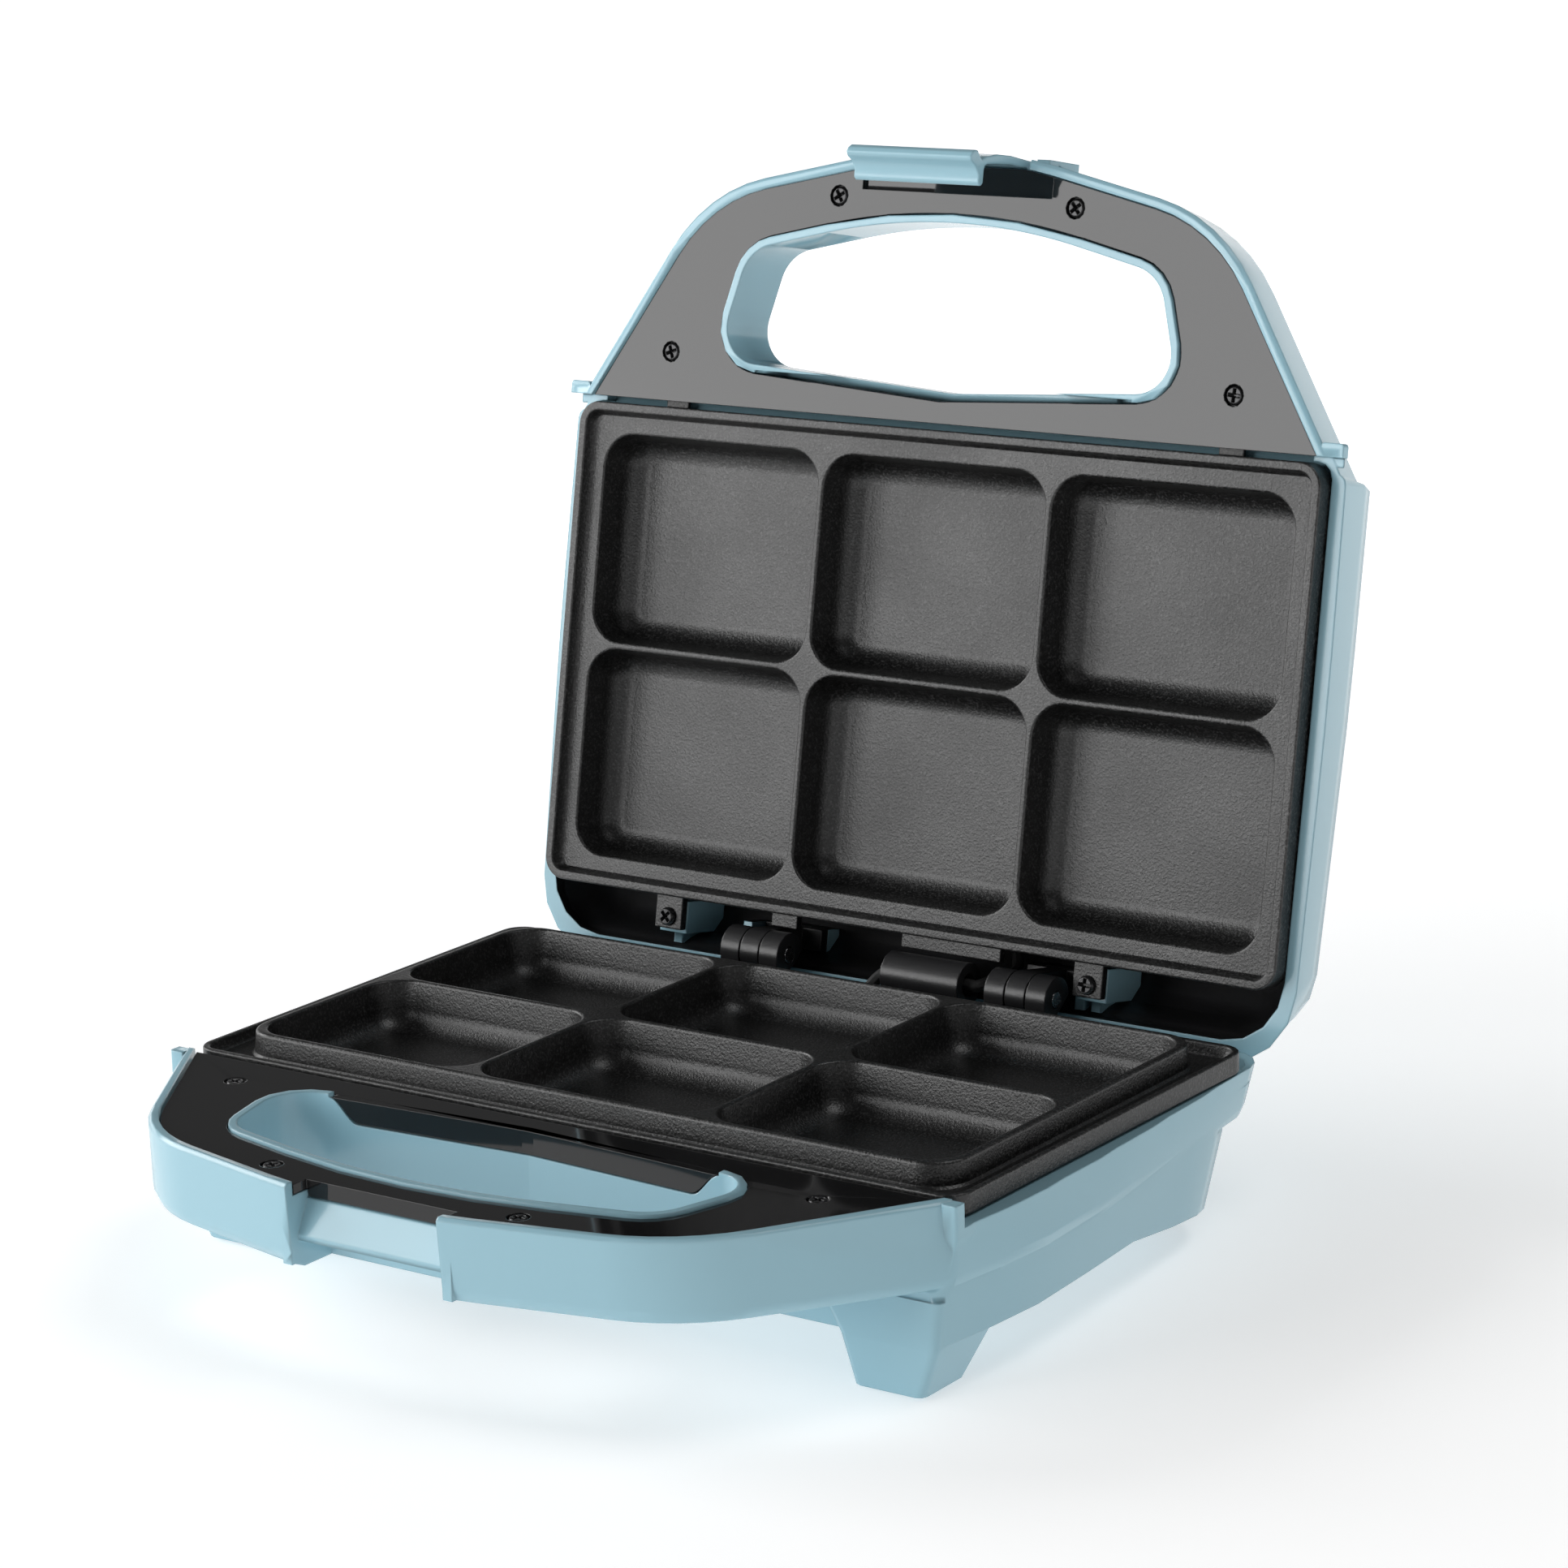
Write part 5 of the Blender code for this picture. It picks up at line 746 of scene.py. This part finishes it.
# %% Lugs and tabs of the upper plate
def small_box(made, low_corner, high_corner):
    """A box with rounded edges."""
    sized = [high - low for low, high in zip(low_corner, high_corner)]
    middle = [(high + low) / 2 for low, high in zip(low_corner, high_corner)]
    fitted = Matrix.Translation(middle) @ Matrix.Diagonal((*sized, 1))
    fresh = bmesh.ops.create_cube(made, size=1.0, matrix=fitted)
    edges = {edge for vert in fresh["verts"] for edge in vert.link_edges}
    bmesh.ops.bevel(
        made, geom=list(edges), offset=0.0004, segments=2, affect="EDGES", profile=0.5)


lug_low, lug_high = low + 0.003, low + 0.003 + 0.0024
screw_lug, short_lug = 0.0088, 0.0037
lug_back = plate_depth - plate_wall
for near, far, reach in (
        (-0.0747, -0.0663, screw_lug), (0.0528, 0.0612, screw_lug),
        (0.002, 0.0315, short_lug), (-0.038, -0.030, short_lug)):
    small_box(made, (near, lug_back, lug_low), (far, plate_depth + reach, lug_high))
tab_x, tab_half, tab_reach, tab_thickness = panel_half - 0.0248, 0.0035, 0.0078, 0.0012
for side in (-1, 1):
    small_box(
        made, (side * tab_x - tab_half, -tab_reach, skirt_z - tab_thickness),
        (side * tab_x + tab_half, plate_wall, skirt_z))
upper_plate = finished_plate("upper_plate", made, lid_place)
stand_for(upper_plate, "upper_baking_plate")
print("upper plate:", len(upper_plate.data.polygons), "faces")

# %% [markdown]
# Screws repeat, so one is modelled and Geometry Nodes set it at every place. Its head is a low dome
# with a cross recess, drawn in shares of the head's radius and rise. The tree takes the screw, the
# way it points and the finish as named inputs, and ends in Realize Instances and Set Material, so
# what comes out is plain mesh.

# %% One cross-head screw
def cross_outline(arm, width):
    points = []
    for turn in range(4):
        cos, sin = math.cos(math.pi / 2 * turn), math.sin(math.pi / 2 * turn)
        for x, y in ((arm, -width), (arm, width), (width, width)):
            points.append((x * cos - y * sin, x * sin + y * cos))
    return points


def turned_ring(made, radius, z, steps=36):
    turns = [2 * math.pi * step / steps for step in range(steps)]
    return [made.verts.new((radius * math.cos(t), radius * math.sin(t), z)) for t in turns]


def cross_screw(name, radius, rise, shank, length):
    made = bmesh.new()
    profile = (
        (shank * 0.3, -length * 0.97), (shank, -length * 0.85), (shank, 0.0),
        (radius * 0.97, 0.0), (radius, rise * 0.12), (radius * 0.97, rise * 0.42),
        (radius * 0.88, rise * 0.72), (radius * 0.76, rise))
    rings = [turned_ring(made, *step) for step in profile]
    strips(made, rings)
    made.faces.new(rings[0])
    arm, width = radius * 0.7, radius * 0.19
    steps = (
        (arm, width, rise), (arm * 0.94, width * 0.86, rise * 0.7),
        (arm * 0.5, width * 0.5, -rise * 0.25))
    recess = [[made.verts.new((x, y, z)) for x, y in cross_outline(a, w)] for a, w, z in steps]
    strips(made, recess)
    made.faces.new(recess[-1])
    web(made, [rings[-1], recess[0]])
    bmesh.ops.recalc_face_normals(made, faces=made.faces)
    mesh = mesh_of(name, made)
    mesh.shade_smooth()
    mesh.set_sharp_from_angle(angle=math.radians(38))
    return bpy.data.objects.new(name, mesh)


panel_screw = cross_screw("panel_screw_shape", 0.00245, 0.0013, 0.00125, 0.009)
print("one screw:", len(panel_screw.data.polygons), "faces")


# %% The tree that places screws
def screw_tree():
    tree = bpy.data.node_groups.new("set screws", "GeometryNodeTree")
    for name, kind in (
            ("Places", "Geometry"), ("Screw", "Object"), ("Way it points", "Rotation"),
            ("Turn of the cross", "Float"), ("Seed", "Int"), ("Finish", "Material")):
        tree.interface.new_socket(name, in_out="INPUT", socket_type="NodeSocket" + kind)
    tree.interface.new_socket("Screws", in_out="OUTPUT", socket_type="NodeSocketGeometry")
    nodes, links = tree.nodes, tree.links
    given, result = nodes.new("NodeGroupInput"), nodes.new("NodeGroupOutput")
    screw = nodes.new("GeometryNodeObjectInfo")
    chance = nodes.new("FunctionNodeRandomValue")
    chance.data_type = "FLOAT"
    highest, drawn = chance.inputs[3], chance.outputs[1]
    spin = nodes.new("ShaderNodeCombineXYZ")
    turn = nodes.new("FunctionNodeEulerToRotation")
    aim = nodes.new("FunctionNodeRotateRotation")
    aim.rotation_space = "LOCAL"
    place = nodes.new("GeometryNodeInstanceOnPoints")
    real = nodes.new("GeometryNodeRealizeInstances")
    finish = nodes.new("GeometryNodeSetMaterial")
    links.new(given.outputs["Screw"], screw.inputs["Object"])
    links.new(given.outputs["Turn of the cross"], highest)
    links.new(given.outputs["Seed"], chance.inputs["Seed"])
    links.new(drawn, spin.inputs["Z"])
    links.new(spin.outputs["Vector"], turn.inputs["Euler"])
    links.new(given.outputs["Way it points"], aim.inputs["Rotation"])
    links.new(turn.outputs["Rotation"], aim.inputs["Rotate By"])
    links.new(given.outputs["Places"], place.inputs["Points"])
    links.new(screw.outputs["Geometry"], place.inputs["Instance"])
    links.new(aim.outputs["Rotation"], place.inputs["Rotation"])
    links.new(place.outputs["Instances"], real.inputs["Geometry"])
    links.new(real.outputs["Geometry"], finish.inputs["Geometry"])
    links.new(given.outputs["Finish"], finish.inputs["Material"])
    links.new(finish.outputs["Geometry"], result.inputs["Screws"])
    return tree


screws_tree = screw_tree()
socket_ids = {item.name: item.identifier for item in screws_tree.interface.items_tree}
print("inputs of the tree:", [name for name in socket_ids if name != "Screws"])


# %% A helper that sets screws
def set_screws(name, places, shape, way, seed, finish):
    mesh = bpy.data.meshes.new(name)
    mesh.from_pydata([tuple(place) for place in places], [], [])
    piece = put(name, mesh)
    fitted = piece.modifiers.new("screws", "NODES")
    fitted.node_group = screws_tree
    for socket, value in (
            ("Screw", shape), ("Way it points", way), ("Turn of the cross", 1.5),
            ("Seed", seed), ("Finish", finish)):
        fitted[socket_ids[socket]] = value
    return settled(piece)


# %% [markdown]
# The panels' screws stand at shares of the panel's half width and of the handle's reach. Those in
# front follow the slant of the handle's tip.

# %% Screws of the two panels and of the upper plate
front_share, tip_share, corner_share = 0.3256, 1.048, 0.805
tip_slope = (tip_share - corner_share) / 0.694
front_y = 0.0057 - handle_reach * (tip_share - front_share * tip_slope)
panel_places = [(side * x, y) for side in (-1, 1) for x, y in (
    (panel_half * 0.779, -handle_reach * 0.214), (panel_half * front_share, front_y))]
lug_y, lug_xs = plate_depth + 0.0056, (-0.0705, 0.057)
base_seat, lid_seat, lug_seat = -0.00185, 0.00395, 0.00335
upright, over = (0.0, 0.0, 0.0), (math.pi, 0.0, 0.0)
lid_over = tuple((lid_place.to_3x3() @ Matrix.Rotation(math.pi, 3, "X")).to_euler())

base_screws = set_screws(
    "base_panel_screws", [base_place @ Vector((x, y, base_seat)) for x, y in panel_places],
    panel_screw, upright, 3, black_steel)
stand_for(base_screws, *[f"base_panel_screw_{count}" for count in (1, 2, 3, 4)])
lid_screws = set_screws(
    "lid_panel_screws", [lid_place @ Vector((x, y, lid_seat)) for x, y in panel_places],
    panel_screw, lid_over, 8, black_steel)
stand_for(lid_screws, *[f"lid_panel_screw_{count}" for count in (1, 2, 3, 4)])
lug_screws = set_screws(
    "plate_lug_screws", [lid_place @ Vector((x, lug_y, lug_seat)) for x in lug_xs],
    panel_screw, lid_over, 5, black_steel)
stand_for(lug_screws, "upper_plate_screw_1", "upper_plate_screw_2")
faces = sum(len(held.data.polygons) for held in (base_screws, lid_screws, lug_screws))
print("screws set:", faces, "faces")

# %% Screws that hold the lower plate
head_seat = 0.002
boxes = [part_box(f"lower_plate_screw_{count}") for count in (1, 2, 3, 4)]
length = boxes[0][1].z - boxes[0][0].z
post_screw = cross_screw("post_screw_shape", 0.0029, 0.0019, 0.0016, length - 0.0022)
post_places = [
    ((low.x + high.x) / 2, (low.y + high.y) / 2, low.z + head_seat) for low, high in boxes]
post_screws = set_screws("post_screws", post_places, post_screw, over, 11, bright_steel)
stand_for(post_screws, *[f"lower_plate_screw_{count}" for count in (1, 2, 3, 4)])
print("underside screws:", len(post_screws.data.polygons), "faces")

# %% [markdown]
# The stage is a wide shallow bowl of white paper: flat where the cake maker stands, and turned up
# far away, so no edge shows from any side. The paper's glow is painted light: it emits a little,
# and more so further out, which keeps it white while the light on the object itself stays
# directed.

# %% Stage
def paper_bowl(flat, bend):
    made = bmesh.new()
    profile = [(0.3, 0.0), (1.0, 0.0), (3.0, 0.0), (flat, 0.0)]
    for step in range(1, 13):
        turn = math.pi / 2 * step / 12
        profile.append((flat + bend * math.sin(turn), bend - bend * math.cos(turn)))
    loops = [turned_ring(made, radius, z - 0.0002, 96) for radius, z in profile]
    strips(made, loops)
    made.faces.new(reversed(loops[0]))
    bmesh.ops.reverse_faces(made, faces=made.faces)
    mesh = mesh_of("paper", made)
    mesh.shade_smooth()
    return mesh


def paper_finish(near_glow, far_glow, near, far):
    paper, shader = start_finish("white paper", specular=0.1)
    nodes, links = paper.node_tree.nodes, paper.node_tree.links
    fibres = two_tone(paper, grain_of(paper, 0.02), (0.79, 0.79, 0.79), (0.80, 0.80, 0.80))
    links.new(fibres, shader.inputs["Base Color"])
    shader.inputs["Roughness"].default_value = 0.9
    shader.inputs["Emission Color"].default_value = (1, 1, 1, 1)
    place = nodes.new("ShaderNodeTexCoord")
    away = nodes.new("ShaderNodeVectorMath")
    away.operation = "LENGTH"
    links.new(place.outputs["Object"], away.inputs[0])
    # painted light: the paper's emission grows with distance from the middle of the stage
    glow = ranged(paper, away.outputs["Value"], near_glow, far_glow, near, far)
    links.new(glow, shader.inputs["Emission Strength"])
    return paper


paper = paper_finish(0.47, 0.94, 0.15, 1.1)
floor = put("floor", paper_bowl(7.0, 1.4))
floor.data.materials.append(paper)
floor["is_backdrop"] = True
print("stage, metres across:", round(floor.dimensions.x, 1))

# %% [markdown]
# One large soft box stands low in front on the left: it is what the lid's gloss panel and the
# coated plate mirror, and it models the handle. One at the left rounds the edges, one overhead at
# the right draws a thin highlight along each ledge, and the sky is dim.

# %% Light
world = bpy.context.scene.world or bpy.data.worlds.new("studio")
bpy.context.scene.world = world
world.use_nodes = True
sky = next(node for node in world.node_tree.nodes if node.type == "BACKGROUND")
sky.inputs["Color"].default_value = (1, 1, 1, 1)
sky.inputs["Strength"].default_value = 0.1


def soft_box(name, place, size, glow, aim=(0, 0, 0.1)):
    """A rectangular light whose face has this radiance."""
    lamp = bpy.data.lights.new(name, "AREA")
    lamp.shape = "RECTANGLE"
    lamp.size, lamp.size_y = size
    lamp.energy = glow * math.pi * size[0] * size[1]
    light = put(name, lamp)
    light.location = place
    light.rotation_mode = "QUATERNION"
    light.rotation_quaternion = (Vector(aim) - Vector(place)).to_track_quat("-Z", "Y")
    light.visible_camera = False


soft_box("front_left", (-1.25, -1.85, 0.74), (1.5, 1.1), 5.0)
soft_box("left", (-1.9, -0.35, 0.9), (1.0, 1.1), 6.4)
soft_box("over_right", (0.75, 0.35, 1.7), (1.0, 0.7), 3.2)

# %% Finish
low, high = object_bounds()
print("dressed, metres:", [round(far - near, 4) for near, far in zip(low, high)])
